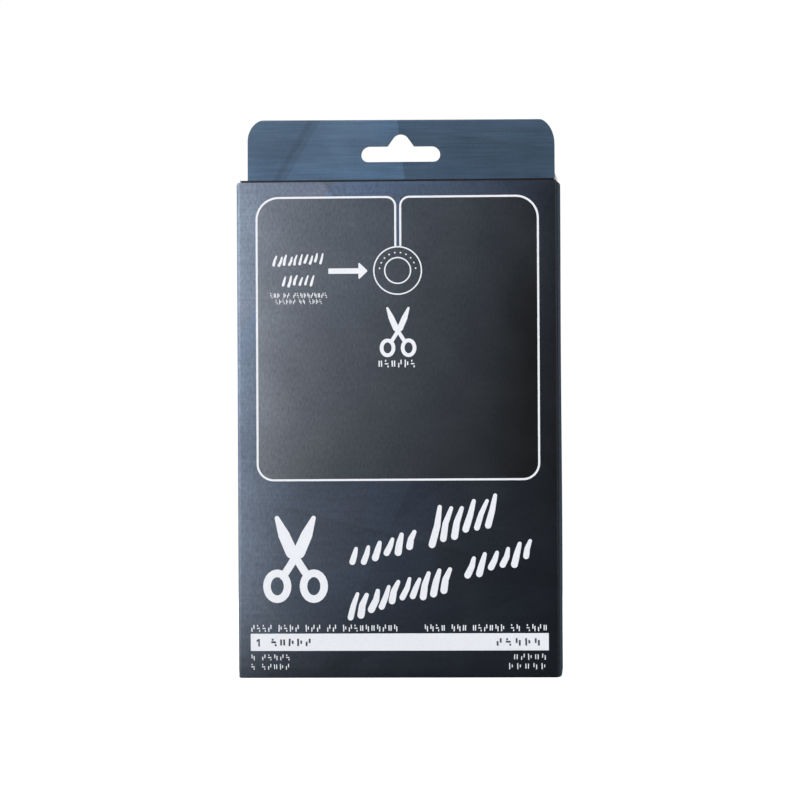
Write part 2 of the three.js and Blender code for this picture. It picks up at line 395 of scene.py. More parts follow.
def swell(u, low_u, high_u, v, low_v, high_v, height):
    """A gentle bow over a panel that dies away at its edges."""
    across = min(1.0, max(0.0, (u - low_u) / (high_u - low_u)))
    along = min(1.0, max(0.0, (v - low_v) / (high_v - low_v)))
    return height * math.sin(math.pi * across) * math.sin(math.pi * along) ** 0.5


def ripple(u, v, height, phase):
    """The slow unevenness of a filled carton's wall."""
    first = math.sin(u / (17 * MM) + phase) * math.cos(v / (29 * MM) - phase)
    second = math.sin(v / (21 * MM) + 2.3 * phase)
    return height * (0.6 * first + 0.4 * second)


def leaning(x, z):
    """The left wall leans out a little towards its head; the right one stands upright."""
    lean = bpy.context.scene.carton_sizes.flare * max(0.0, z) / FRONT_PANEL[1].z
    return x - lean * max(0.0, -x / SIDE)


# ---- finishes


def maths(operation, swapped=False):
    """A method that adds a Math node for a wire and another value."""

    def method(self, other=0.0):
        pair = (other, self) if swapped else (self, other)
        return self.bench.add("ShaderNodeMath", {"operation": operation}, dict(enumerate(pair)))

    return method


class Wire:
    """One output of a node. Arithmetic on it adds Math nodes."""

    __add__ = __radd__ = maths("ADD")
    __mul__ = __rmul__ = maths("MULTIPLY")
    __sub__ = maths("SUBTRACT")
    __rsub__ = maths("SUBTRACT", swapped=True)
    above = maths("MAXIMUM")
    below = maths("MINIMUM")
    size = maths("ABSOLUTE")
    root = maths("SQRT")
    exponent = maths("EXPONENT")
    sine = maths("SINE")

    def __init__(self, bench, socket):
        self.bench = bench
        self.socket = socket

    def wave(self, pitch):
        """A sine that repeats over a pitch."""
        return (self * (2 * math.pi / pitch)).sine()

    def line(self, low, high, to_low=0.0, to_high=1.0, kind="LINEAR"):
        """Rises from to_low to to_high as the value goes from low to high."""
        values = {0: self, 1: low, 2: high, 3: to_low, 4: to_high}
        return self.bench.add("ShaderNodeMapRange", {"interpolation_type": kind}, values)

    def ramp(self, *values):
        """The same, with soft ends."""
        return self.line(*values, kind="SMOOTHSTEP")


class Bench:
    """Adds nodes to a tree."""

    def __init__(self, tree):
        self.tree = tree

    def add(self, kind, settings=None, sockets=None, output=0):
        """Adds a node: its settings first, then the values or links of its sockets."""
        node = self.tree.nodes.new(kind)
        for key, value in (settings or {}).items():
            setattr(node, key, value)
        for key, value in (sockets or {}).items():
            if isinstance(value, Wire):
                self.tree.links.new(value.socket, node.inputs[key])
            else:
                node.inputs[key].default_value = value
        return Wire(self, node.outputs[output]) if node.outputs else node


class Finish(Bench):
    """Builds the nodes of one material, on the object's own coordinates."""

    def __init__(self, name):
        made = bpy.data.materials.new(name)
        made.use_nodes = True
        super().__init__(made.node_tree)
        self.tree.nodes.clear()
        self.place = self.add("ShaderNodeTexCoord", output="Object")

    def axes(self, vector=None):
        split = self.add("ShaderNodeSeparateXYZ", {}, {0: vector or self.place})
        return [Wire(self, split.socket.node.outputs[k]) for k in range(3)]

    def stretched(self, scale, turn=(0, 0, 0)):
        sockets = {"Vector": self.place, "Rotation": turn, "Scale": scale}
        return self.add("ShaderNodeMapping", {}, sockets)

    def noise(self, scale, detail=2.0, roughness=0.5):
        """Noise of one scale, or of a scale for each axis."""
        even = isinstance(scale, float)
        sockets = {"Vector": self.place if even else self.stretched(scale), "Scale": scale if even else 1.0}
        return self.add("ShaderNodeTexNoise", {}, {**sockets, "Detail": detail, "Roughness": roughness})

    def colours(self, factor, first, second):
        """A mix of two colours, each given as a link or as red, green and blue."""
        first, second = (c if isinstance(c, Wire) else (*c, 1) for c in (first, second))
        return self.add("ShaderNodeMix", {"data_type": "RGBA"}, {0: factor, 6: first, 7: second}, output=2)

    def dimmed(self, colour, amount):
        return self.add("ShaderNodeVectorMath", {"operation": "SCALE"}, {0: colour, 3: amount})

    def summed(self, first, second):
        return self.add("ShaderNodeVectorMath", {"operation": "ADD"}, {0: first, 1: second})

    def finish(self, colour, rough, bump=None, **sockets):
        """Joins a finish's colour, roughness and relief in one shader."""
        sockets |= {"Base Color": colour, "Roughness": rough}
        if bump:
            relief = {"Height": bump[0], "Distance": bump[1], "Strength": 1.0}
            sockets["Normal"] = self.add("ShaderNodeBump", {}, relief)
        shader = self.add("ShaderNodeBsdfPrincipled", {}, sockets)
        self.add("ShaderNodeOutputMaterial", {}, {0: shader})


# The white outline's box on the front panel: left, right, foot, head
DRAWING = (-55.7 * MM, 55.8 * MM, 78.25 * MM, 190.6 * MM)
HEAD_CORNER = 8.8 * MM
FOOT_CORNER = 6.4 * MM
SLIT = (-0.8 * MM, 1.2 * MM)
SLIT_CORNER = 3.6 * MM
RING_CENTRE = (0.1 * MM, 161.3 * MM)
RING_OUTER = 9.7 * MM
RING_INNER = 5.4 * MM


def drawing_mask(x, y, z):
    """1 inside the drawn cape on the front, 0 elsewhere."""
    left, right, foot, head = DRAWING
    half_x, half_z = (right - left) / 2, (head - foot) / 2
    corner = (z - (foot + half_z)).ramp(-half_z / 2, half_z / 2, FOOT_CORNER, HEAD_CORNER)
    across = (x - (left + half_x)).size() - half_x + corner
    along = (z - (foot + half_z)).size() - half_z + corner
    outside_x, outside_z = across.above(0.0), along.above(0.0)
    reach = (outside_x * outside_x + outside_z * outside_z).root()
    distance = reach + across.above(along).below(0.0) - corner
    inside = distance.ramp(-0.1 * MM, 0.1 * MM, 1.0, 0.0)
    middle, half_slit = sum(SLIT) / 2, (SLIT[1] - SLIT[0]) / 2
    beside = (x - middle).size().ramp(half_slit - 0.1 * MM, half_slit + 0.1 * MM)
    ring_head = RING_CENTRE[1] + RING_OUTER
    under = z.ramp(ring_head, ring_head + 0.2 * MM, 1.0, 0.0)
    front = y.ramp(FRONT + 0.5 * MM, FRONT + 1.2 * MM, 1.0, 0.0)
    return inside * beside.above(under) * front


# Straight facet edges: the edge's direction in degrees, its offset from the origin in
# millimetres, the change of tone beyond it, and the width of the dark band along it
FRONT_FACETS = (
    (-14.0, 54.0, 0.16, 1.0),
    (38.0, 49.0, -0.14, 0.0),
    (64.0, 29.0, 0.20, 0.0),
    (-52.0, 98.0, -0.22, 1.5),
    (21.0, 12.0, -0.16, 0.0),
)
HEADER_FACETS = ((59.2, 145.1, -0.14, 4.2), (-83.0, 26.0, -0.34, 0.0), (-8.0, 219.0, 0.10, 0.0))
WARM_CORNER = (58.0, 126.0, 1.0, 0.0)


def facet_field(x, z, where, angle, offset, change, width):
    """1 on one side of a straight edge, 1 + change on the other, and a dark band between."""
    turn = math.radians(angle)
    across = z * math.cos(turn) - x * math.sin(turn) - offset * MM
    beyond = across.ramp(-0.15 * MM, 0.15 * MM)
    field = 1.0 + beyond * change * where
    if width:
        edge = across.size().ramp(width / 2 * MM, (width / 2 + 0.25) * MM, 1.0, 0.0)
        field = field * (1.0 - edge * 0.15 * where)
    return field


def faceted_print(bench):
    """Slate-blue facets with a brushed grain under a satin film; charcoal in the drawing; painted light and
    a painted sheen on the front and header.
    """
    x, y, z = bench.axes()
    spread = bench.stretched((1.0, 1.0, 0.72), (0.35, 0.5, 0.62))
    voronoi = {"Vector": spread, "Scale": 1 / bpy.context.scene.print_sizes.facet, "Randomness": 0.9}
    cells = bench.add("ShaderNodeTexVoronoi", {"feature": "F1"}, voronoi, output="Color")
    tone, hue, _ = bench.axes(cells)
    drawing = drawing_mask(x, y, z)
    plain = 1.0 - drawing
    front = y.ramp(FRONT + 1.0 * MM, FRONT + 3.0 * MM, 1.0, 0.0)
    header = z.ramp(LID_TOP - 0.3 * MM, LID_TOP) * y.ramp(FOLD_MIDDLE - 0.05 * MM, FOLD_MIDDLE, 1.0, 0.0)
    header = header * (1.0 - front)

    # Facets: straight-edged fields of the print, each a little lighter or bluer
    facets = 1.0 + (tone - 0.5) * (0.20 - header * 0.12)
    for where, edges in ((front, FRONT_FACETS), (header, HEADER_FACETS)):
        for edge in edges:
            facets = facets * facet_field(x, z, where, *edge)
    facets = 1.0 + (facets - 1.0) * (1.0 - drawing * 0.8)
    warm_corner = facet_field(x, z, front, *WARM_CORNER) - 1.0

    # Painted light on the front: lighter at the left and the head, darker towards the foot and at the right
    # of the drawing below its head. The border outside the drawing is lighter towards the head.
    painted_light_falloff = x.line(-0.018, 0.062, 1.0, 0.0) * z.line(0.085, 0.180, 0.42, 1.0)
    painted_foot_shade = z.line(0.0, 0.040, 0.18, 1.0)
    margin = 1.0 + (z.line(0.060, 0.150) * 0.42 + z.line(0.120, 0.165) * 0.42) * plain
    front_tone_and_painted_light = (painted_light_falloff * painted_foot_shade * 0.050 + z.line(0.080, 0.190, 0.0065, 0.0090)) * margin
    front_tone_and_painted_light = front_tone_and_painted_light * (1.0 - x.line(0.034, 0.052) * z.line(0.170, 0.150) * drawing * 0.5)
    # Painted light on the header: lighter at its left, and lighter towards its foot to lift the shade there
    header_tone_and_painted_light = x.line(-0.010, 0.060, 0.117, 0.090) * z.line(0.198, 0.213, 1.55, 1.0)
    wall_tone = 0.058
    level = header_tone_and_painted_light * header + (1.0 - header) * wall_tone
    level = level + (front_tone_and_painted_light - level) * front

    # A shadow under the fold of the lid, where the tuck flap meets the front panel
    tuck_edge = y.ramp(FRONT + 0.6 * MM, FRONT + 0.9 * MM)
    tuck_edge = tuck_edge * y.ramp(FRONT + 2.2 * MM, FRONT + 3.2 * MM, 1.0, 0.0)
    tuck_edge = tuck_edge * z.ramp(LID_TOP - 5.0 * MM, LID_TOP - 2.0 * MM)
    level = level * (1.0 - tuck_edge * 0.86)

    # A painted sheen down the left of the front, added over the print
    sheen = ((x + 0.055) * -50.0).exponent() * z.line(0.0, 0.100, 0.42, 1.0) * 0.116
    sheen = sheen * z.line(0.150, 0.196, 1.0, 0.72) * z.line(0.0, 0.022, 0.45, 1.0)
    sheen = sheen * (1.0 - z.line(0.055, 0.090) * plain * 0.28)

    # Grain: drawn lines along the facets, and soft upright streaks in the drawing
    brushed = bench.noise((50.0, 50.0, 1300.0), 3.0, 0.6)
    streaked = bench.noise((1300.0, 700.0, 520.0), 3.0, 0.6)
    clouds = bench.noise(60.0)
    grain = 1.0 + (brushed - 0.5) * 0.72 * (1.0 - drawing * 0.8 - front * plain * 0.4)
    grain = grain * (1.0 + (streaked - 0.5) * 1.05 * (0.35 + front * 0.60))
    grain = grain * (1.0 + (clouds - 0.5) * 0.30)

    teal = bench.colours(hue, (0.52, 1.0, 1.64), (0.60, 1.0, 1.56))
    navy = bench.colours(hue, (0.62, 1.0, 1.74), (0.72, 1.0, 1.62))
    greyed = bench.colours(warm_corner, bench.colours(front, teal, navy), (0.80, 1.0, 1.40))
    charcoal = bench.colours(drawing, greyed, (0.79, 1.0, 1.33))
    printed = bench.dimmed(charcoal, level * grain * facets)
    # The painted sheen's tint, and the painted sheen laid over the print's colour
    sheen_tint = bench.colours(drawing, (0.82, 1.0, 1.27), (0.93, 1.0, 1.15))
    painted_sheen_colour = bench.dimmed(sheen_tint, sheen * front * grain * (1.0 - tuck_edge * 0.9))
    colour = bench.summed(printed, painted_sheen_colour)

    # The film is painted paler where the board turns at the upright creases: partly rubbed film, partly a
    # painted highlight where the rounded crease catches the light
    turning = x.size().ramp(SIDE - 0.95 * MM, SIDE - 0.6 * MM) * front
    worn_and_highlit = bench.summed(bench.dimmed(colour, 1.35), (0.012, 0.012, 0.012))
    colour = bench.colours(turning * 0.8, colour, worn_and_highlit)
    film = bench.noise((900.0, 900.0, 900.0), 3.0)
    return {
        "colour": colour,
        "rough": clouds.line(0.2, 0.8, 0.30, 0.40) + tuck_edge * 0.5,
        "bump": (film * 0.6 + brushed * 0.4, 0.012 * MM),
        "Specular IOR Level": 0.4,
    }


def raw_board(bench):
    """Uncoated grey-white board with its fibres."""
    fibres = bench.noise((500.0, 500.0, 1400.0), 5.0, 0.7)
    flecks = bench.noise(2600.0, 1.0).ramp(0.66, 0.72)
    base = bench.colours(fibres, (0.70, 0.69, 0.66), (0.84, 0.83, 0.80))
    colour = bench.colours(flecks * 0.35, base, (0.46, 0.43, 0.38))
    return {"colour": colour, "rough": fibres.line(0, 1, 0.82, 0.95), "bump": (fibres, 0.05 * MM)}


def cut_edge(bench):
    """The cut through the board: pale plies with a little of the print's colour."""
    plies = bench.noise((2500.0, 2500.0, 2500.0), 4.0, 0.7)
    colour = bench.colours(plies, (0.16, 0.17, 0.19), (0.36, 0.37, 0.38))
    return {"colour": colour, "rough": 0.85, "bump": (plies, 0.04 * MM)}


def white_ink(bench):
    """Screened white ink, a little uneven where it lies on the brushed print."""
    patches = bench.noise(900.0, 3.0)
    white = tuple(bpy.context.scene.print_sizes.white)
    grey = tuple(0.97 * channel for channel in white)
    colour = bench.colours(patches.ramp(0.35, 0.6), grey, white)
    return {"colour": colour, "rough": patches.line(0, 1, 0.34, 0.48), "bump": (patches, 0.01 * MM)}


def dark_ink(bench):
    """Charcoal ink printed over the white strip."""
    patches = bench.noise(1100.0)
    colour = bench.colours(patches, (0.030, 0.034, 0.040), (0.055, 0.060, 0.068))
    return {"colour": colour, "rough": patches.line(0, 1, 0.35, 0.5)}


def woven_cloth(bench):
    """Fine black woven polyester with a soft sheen."""
    x, y, z = bench.axes()
    slubs = bench.noise((260.0, 260.0, 2200.0), 3.0)
    shade = x.wave(0.42 * MM) * (z + y).wave(0.42 * MM) * 0.25 + slubs
    return {
        "colour": bench.colours(shade.ramp(0.2, 0.9), (0.010, 0.010, 0.012), (0.034, 0.034, 0.038)),
        "rough": slubs.line(0, 1, 0.62, 0.80),
        "bump": (shade, 0.05 * MM),
        "Sheen Weight": 0.25,
        "Sheen Roughness": 0.4,
    }


def ribbed_tape(bench):
    """Black ribbed tape."""
    x, _, z = bench.axes()
    fluff = bench.noise(1500.0, 3.0)
    shade = (x + z).wave(0.7 * MM) * 0.3 + fluff
    colour = bench.colours(shade.ramp(0.1, 0.9), (0.014, 0.014, 0.016), (0.042, 0.042, 0.046))
    return {"colour": colour, "rough": fluff.line(0, 1, 0.78, 0.92), "bump": (shade, 0.10 * MM)}


def matt_rubber(bench):
    """Matt moulded rubber with a fine cloth-like texture."""
    pebbles = bench.noise(1800.0)
    marks = bench.noise(45.0, 4.0, 0.6)
    colour = bench.colours(marks, (0.014, 0.014, 0.016), (0.034, 0.034, 0.036))
    return {"colour": colour, "rough": marks.line(0.2, 0.8, 0.48, 0.66), "bump": (pebbles, 0.04 * MM)}


def gloss_plastic(bench):
    """Glossy black moulded plastic."""
    marks = bench.noise(300.0, 3.0)
    colour = bench.colours(marks, (0.010, 0.010, 0.011), (0.020, 0.020, 0.022))
    return {"colour": colour, "rough": marks.line(0.2, 0.8, 0.22, 0.36)}


def stitch_thread(bench):
    """Twisted black thread."""
    x, _, z = bench.axes()
    twist = (x + z * 0.6).wave(0.5 * MM)
    colour = bench.colours(twist.line(-1, 1), (0.020, 0.020, 0.022), (0.060, 0.060, 0.064))
    return {"colour": colour, "rough": 0.7, "bump": (twist, 0.05 * MM)}


def floor_paper(bench):
    """White paper that glows a little."""
    colour = bench.colours(bench.noise(3.0), (0.90, 0.90, 0.90), (0.92, 0.92, 0.92))
    glow = {"Emission Color": (1, 1, 1, 1), "Emission Strength": 0.5}
    return {"colour": colour, "rough": 0.9, "Specular IOR Level": 0.0, **glow}


RECIPES = (
    faceted_print,
    raw_board,
    cut_edge,
    white_ink,
    dark_ink,
    woven_cloth,
    ribbed_tape,
    matt_rubber,
    gloss_plastic,
    stitch_thread,
    floor_paper,
)
FINISHES = {recipe.__name__: recipe for recipe in RECIPES}
BOARD_FINISHES = ("faceted_print", "raw_board", "cut_edge")


def material(name):
    """The material of that name, built the first time that a piece asks for it."""
    if name not in bpy.data.materials:
        bench = Finish(name)
        bench.finish(**FINISHES[name](bench))
    return bpy.data.materials[name]


# ---- where each panel lies


def wall(u, v, depth, half, head, height):
    """A wall with rolled sides and foot: its place across, its height, and how far it stands out."""
    sizes = bpy.context.scene.carton_sizes
    edge, foot = half - sizes.crease, sizes.foot_crease
    across, deep_u = roll(abs(u), edge, sizes.crease, depth)
    drop, deep_v = roll(-v, -foot, foot, depth)
    out = swell(u, -edge, edge, v, foot, head, height)
    return math.copysign(across, u), -drop, depth - deep_u - deep_v + out


def front_place(u, v, depth):
    """The front panel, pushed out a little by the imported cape."""
    height = 0.35 * MM + ripple(u, v, 0.16 * MM, 0.6)
    x, z, out = wall(u, v, depth, SIDE, FRONT_PANEL[1].z, height)
    return Vector((leaning(x, z), FRONT - out, z))


def back_place(u, v, depth):
    """The back panel."""
    x, z, out = wall(u, v, depth, SIDE, BACK_PANEL[1].z, ripple(u, v, 0.14 * MM, 2.1))
    return Vector((leaning(x, z), BACK + out, z))


def side_bow(u):
    """How far a side wall stands out at a place between the front and the back."""
    sizes = bpy.context.scene.carton_sizes
    edge = BACK - sizes.crease
    return swell(u, -edge, edge, 0.5, 0, 1, sizes.bow)


def side_place(side):
    """A side panel: u runs from front to back."""

    def place(u, v, depth):
        head = DUST[1].z - bpy.context.scene.carton_sizes.shoulder_crease
        y, z, out = wall(u, v, depth, BACK, head, ripple(u, v, 0.10 * MM, 3.7 + side))
        out += side_bow(u) * min(1.0, 0.6 + max(0.0, v) / (6 * MM))
        return Vector((leaning(side * (SIDE + out), z), y, z))

    return place


def header_place(u, s, depth):
    """The header: up the front ply, over the fold, and down the rear ply."""
    over = math.pi * FOLD_RADIUS
    wave = 0.10 * MM * math.sin(u / (23 * MM) + 0.7) + 0.06 * MM
    slope = -0.0052 * u
    if s <= RISE:
        wave *= math.sin(math.pi * 0.5 * s / RISE)
        return Vector((u, PLY_FACE + depth + wave, HEADER_FOOT + s + slope * s / RISE))
    if s <= RISE + over:
        turn = (s - RISE) / FOLD_RADIUS
        reach = FOLD_RADIUS - depth
        height = CROWN + reach * math.sin(turn) + slope
        return Vector((u, FOLD_MIDDLE - reach * math.cos(turn) + wave, height))
    drop = s - RISE - over
    share = max(0.0, 1.0 - drop / RISE)
    wave *= math.sin(math.pi * 0.5 * share)
    x = u if u > 0 or drop <= RISE else leaning(u, CROWN - drop)
    return Vector((x, BACK - depth + wave, CROWN - drop + slope * share))


def lid_place(u, v, depth):
    """The lid: a little crowned, and sprung up towards its front fold."""
    low, high = LID
    out = swell(u, low.x, high.x, v, low.y, high.y, 0.06 * MM)
    out += LID_SPRING * (high.y - v) / (high.y - low.y - TUCK_ROUND)
    return Vector((u, v, LID_TOP - depth + out))


def tuck_place(u, v, depth):
    return Vector((u, TUCK[0].y + depth, v))


def dust_place(u, v, depth):
    return Vector((u, v, DUST[1].z - depth))


# ---- carton operators


def board(
    name,
    outline,
    place,
    *nodes,
    slot="printed_board",
    body="carton",
    bends=((), ()),
    spacing=None,
    spans=None,
    holes=(),
    stuff=(BOARD, BOARD_FINISHES),
):
    """A bent sheet cut along a grid, in the carton's board unless told otherwise."""
    spans = spans or list(zip(np.min(outline, 0), np.max(outline, 0)))
    spacing = spacing or (bpy.context.scene.carton_sizes.grid,) * 2
    cuts = [grid_lines(*span, step, bend) for span, step, bend in zip(spans, spacing, bends)]
    made = thicken(flat_sheet(outline, *cuts, holes), name, place, *stuff)
    return settle(made, slot, *nodes, body=body)


def hook_slot():
    """Outline of the display-hook slot: a bar with a round-topped rise, drawn in millimetres."""
    half, floor, ceiling = 16, 207.4, 213.7
    low, high = 2.7, 3.5
    rise_half, rise_height, rise_radius = 5.35, 4.9, 3.6
    centre = rise_height - rise_radius
    slope = math.atan2(centre, rise_half) + math.asin(rise_radius / math.hypot(rise_half, centre))
    touch = 90 - math.degrees(slope)
    points = arc((half - low, floor + low), low, -90, 0, 6)
    points += arc((half - high, ceiling - high), high, 0, 90, 8)
    points += [(rise_half, ceiling)]
    points += arc((0, ceiling + centre), rise_radius, touch, 180 - touch, 12)
    points += [(-rise_half, ceiling)]
    points += arc((-half + high, ceiling - high), high, 90, 180, 8)
    points += arc((-half + low, floor + low), low, 180, 270, 6)
    return without_repeats([(u * MM, v * MM) for u, v in points])


class BOXEDCAPE_OT_wrap(bpy.types.Operator):
    """Front, back and side panels with their creases, and the glue flap inside"""

    bl_idname = "boxed_cape.wrap"
    bl_label = "Carton panels"

    def execute(self, context):
        sizes = context.scene.carton_sizes
        foot = sizes.foot_crease
        low = foot - half_crease(foot)
        side_head = DUST[1].z - sizes.shoulder_crease
        for name, half, head, place, node in (
            ("front_board", SIDE, FRONT_PANEL[1].z, front_place, "front_panel"),
            ("back_board", SIDE, BACK_PANEL[1].z, back_place, "back_panel"),
            ("left_side_board", BACK, side_head, side_place(-1), "left_side_panel"),
            ("right_side_board", BACK, side_head, side_place(1), "right_side_panel"),
        ):
            edge = half - sizes.crease
            reach = edge + half_crease(sizes.crease)
            bends = ([(-reach, -edge, 5), (edge, reach, 5)], [(low, foot, 4)])
            board(name, rectangle(-reach, low, reach, head), place, node, bends=bends)
        self.glue_flap()
        return {"FINISHED"}

    def glue_flap(self):
        low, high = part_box("glue_flap")
        slant = 6 * MM
        outline = [(low.y, low.z + slant), (high.y, low.z), (high.y, high.z), (low.y, high.z - slant)]

        def place(u, v, depth):
            return Vector((low.x + depth, u, v))

        plain = {"slot": "plain_board", "stuff": (BOARD, ("raw_board", "raw_board", "cut_edge"))}
        board("glue_flap_board", outline, place, "glue_flap", spacing=(5 * MM, 8 * MM), **plain)


class BOXEDCAPE_OT_header(bpy.types.Operator):
    """The double header with its rounded fold, hook slot and right shoulder"""

    bl_idname = "boxed_cape.header"
    bl_label = "Hang header"

    def execute(self, context):
        over = math.pi * FOLD_RADIUS
        middle = RISE + over / 2
        half = HEADER[1].x
        right, left = (7.5 * MM, 10.6 * MM), (7.9 * MM, 8.8 * MM)
        rear_foot = RISE + over + (CROWN - LID_TOP)
        steps = ((half, 202.2), (half + 0.35 * MM, 201.5), (SIDE - 0.3 * MM, 200.3), (SIDE, 199.6))
        outline = [(-half, 0), (half, 0)]
        outline += oval_corner((half, middle), *right, (-1, -1))[::-1]
        outline += oval_corner((half, middle), *right, (-1, 1))
        outline += [(u, middle + (HEADER[1].z - height * MM)) for u, height in steps]
        outline += [(SIDE, rear_foot), (-half, rear_foot)]
        outline += oval_corner((-half, middle), *left, (1, 1))[::-1]
        outline += oval_corner((-half, middle), *left, (1, -1))
        front_slot = [(u, v - HEADER_FOOT) for u, v in hook_slot()]
        rear_slot = [(u, 2 * middle - v) for u, v in front_slot]
        board(
            "header_board",
            without_repeats(outline),
            header_place,
            "header_front_ply",
            "header_rear_ply",
            bends=((), [(RISE, RISE + over, 10)]),
            spans=((-SIDE, SIDE), (0, rear_foot)),
            holes=(front_slot, rear_slot),
        )
        return {"FINISHED"}


def crease_strip(name, bodies, centre, radius, inner, turns, span, along_x=True, shift=None):
    """A bent strip of board between two panels, rolled about centre from angle to angle."""
    lines = [arc(centre, r, *turns) for r in (radius, inner)]
    across = np.linspace(*span)
    bm = bmesh.new()
    rows = [[bm.verts.new((k, row, 0)) for k in range(len(across))] for row in range(turns[2] + 1)]
    for near, far in zip(rows, rows[1:]):
        for k in range(len(across) - 1):
            bm.faces.new((near[k], near[k + 1], far[k + 1], far[k]))

    def place(column, row, depth):
        along = across[round(column)]
        first, height = lines[depth > 0][round(row)]
        if shift:
            first += shift(along, row / turns[2])
        return (along, first, height) if along_x else (first, along, height)

    made = thicken(bm, name, place, BOARD, BOARD_FINISHES, sharp=50)
    ends = [lines[0][0], lines[0][-1]]
    start, end = [(0, u, v) if along_x else (u, 0, v) for u, v in ends]
    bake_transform(made)
    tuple(start)
    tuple(end)
    return settle(made, "printed_board", body=None)


class BOXEDCAPE_OT_top_closure(bpy.types.Operator):
    """The lid, its tuck flap, the dust flaps and the creases that they bend on"""

    bl_idname = "boxed_cape.top_closure"
    bl_label = "Top closure"

    def execute(self, context):
        half = LID[1].x
        lid = rectangle(-half, TUCK[0].y + TUCK_ROUND, half, PLY_FACE - VALLEY)
        board("lid_board", lid, lid_place, "top_lid", body="lid")

        half, foot = TUCK[1].x, TUCK[0].z
        head = LID_TOP + LID_SPRING - TUCK_ROUND
        corner, taper = 9 * MM, 1.5 * MM
        corners = [(-half, head, 0), (-half + taper, foot, corner), (half - taper, foot, corner)]
        tuck = rounded([*corners, (half, head, 0)])
        board("tuck_board", tuck, tuck_place, "top_tuck_flap", body="tuck")
        hands = ((-1, "left"), (1, "right"))
        radius = context.scene.carton_sizes.shoulder_crease
        for side, hand in hands:
            self.dust_flap(side, hand, radius)
        self.folds()
        for side, hand in hands:
            self.dust_crease(side, hand, radius)
        return {"FINISHED"}

    def dust_flap(self, side, hand, radius):
        root, tip = side * (SIDE - radius), side * DUST[0].x
        front, length = DUST[0].y, DUST[1].x - DUST[0].x
        corners = [(root, front, 0), (root, DUST_REAR, 0)]
        corners += [(tip, DUST_REAR - 0.46 * length, 5 * MM), (tip, front + 0.12 * length, 5 * MM)]
        node, body = f"top_{hand}_dust_flap", f"{hand}_dust"
        board(f"{hand}_dust_board", rounded(corners), dust_place, node, body=body)

    def folds(self):
        """The creases at the lid's rear and front."""
        span, turns = (LID[0].x, LID[1].x, 41), (0, -90, 8)
        centre = (PLY_FACE - VALLEY, LID_TOP + VALLEY)
        bodies = ("carton", "lid")
        crease_strip("lid_crease_strip", bodies, centre, VALLEY, VALLEY + BOARD, turns, span)
        span, turns = (TUCK[0].x, TUCK[1].x, 41), (90, 180, 10)
        centre = (TUCK[0].y + TUCK_ROUND, LID_TOP + LID_SPRING - TUCK_ROUND)
        bodies = ("lid", "tuck")
        crease_strip("tuck_crease_strip", bodies, centre, TUCK_ROUND, TUCK_ROUND - BOARD, turns, span)

    def dust_crease(self, side, hand, radius):
        """The crease between a side wall, bowed as it is, and its dust flap."""
        height = DUST[1].z - radius

        def stand_out(place, share):
            wall_face = leaning(side * (SIDE + side_bow(place)), height) - side * SIDE
            return wall_face * (1 - share) ** 2

        centre = (side * (SIDE - radius), height)
        turns = (180 if side < 0 else 0, 90, 10)
        rolled = (centre, radius, radius - BOARD, turns, (DUST[0].y, DUST_REAR, 13))
        bodies = ("carton", f"{hand}_dust")
        crease_strip(f"{hand}_dust_crease_strip", bodies, *rolled, False, stand_out)


class BOXEDCAPE_OT_base(bpy.types.Operator):
    """The sealed base: an outer flap, an inner flap and two dust flaps"""

    bl_idname = "boxed_cape.base"
    bl_label = "Base flaps"

    def execute(self, context):
        foot = context.scene.carton_sizes.foot_crease
        edge = foot + FRONT
        low_v = edge - half_crease(foot)

        def under(u, v, depth):
            """The outer flap: its front edge rolls up to meet the front panel."""
            along, deep = roll(-v, -edge, foot, depth)
            return Vector((u, -along, deep))

        outline = rectangle(-SIDE + foot, low_v, SIDE - foot, BACK - foot)
        cut = {"bends": ((), [(low_v, edge, 4)]), "spacing": (4 * MM,) * 2}
        board("base_outer_board", outline, under, "bottom_outer_flap", **cut)
        for name in ("inner", "left_dust", "right_dust"):
            node = f"bottom_{name}_flap"
            slot = "printed_board" if name == "inner" else "plain_board"
            low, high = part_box(node)

            def lying(u, v, depth, underside=low.z):
                return Vector((u, v, underside + depth))

            outline = rectangle(low.x, low.y, high.x, high.y)
            board(f"base_{name}_board", outline, lying, node, slot=slot, spacing=(5 * MM,) * 2)
        return {"FINISHED"}


# ---- node trees


class NodeTree(Bench):
    """A geometry node tree built in code, and the plain mesh that comes out of it."""

    def __init__(self, name):
        super().__init__(bpy.data.node_groups.new(name, "GeometryNodeTree"))
        self.name = name
        for way in ("INPUT", "OUTPUT"):
            self.tree.interface.new_socket("Geometry", in_out=way, socket_type="NodeSocketGeometry")
        self.entry = self.add("NodeGroupInput")
        self.values = {}

    def input(self, name, kind, value):
        """A named input of the tree, with the value that this piece gives it."""
        socket = self.tree.interface.new_socket(name, in_out="INPUT", socket_type="NodeSocket" + kind)
        self.values[socket.identifier] = value
        return Wire(self, self.entry.socket.node.outputs[name])

    def on_points(self, points, instance, finish, **sockets):
        """Sets an instance on points as plain geometry in one finish, and closes the tree."""
        shape = {"Points": points, "Instance": instance, **sockets}
        shape = self.add("GeometryNodeInstanceOnPoints", {}, shape)
        plain = self.add("GeometryNodeRealizeInstances", {}, {0: shape})
        named = self.add("GeometryNodeSetMaterial", {}, {"Geometry": plain, "Material": material(finish)})
        self.add("NodeGroupOutput", {}, {0: named})

    def result(self, name, mesh=None):
        """Runs the tree on a mesh, and gives back a plain mesh."""
        carrier = linked(name + "_carrier", mesh or bpy.data.meshes.new(name + "_points"))
        modifier = carrier.modifiers.new(self.name, "NODES")
        modifier.node_group = self.tree
        for identifier, value in self.values.items():
            modifier[identifier] = value
        made = plain_mesh(carrier, name)
        bpy.data.objects.remove(carrier)
        return made


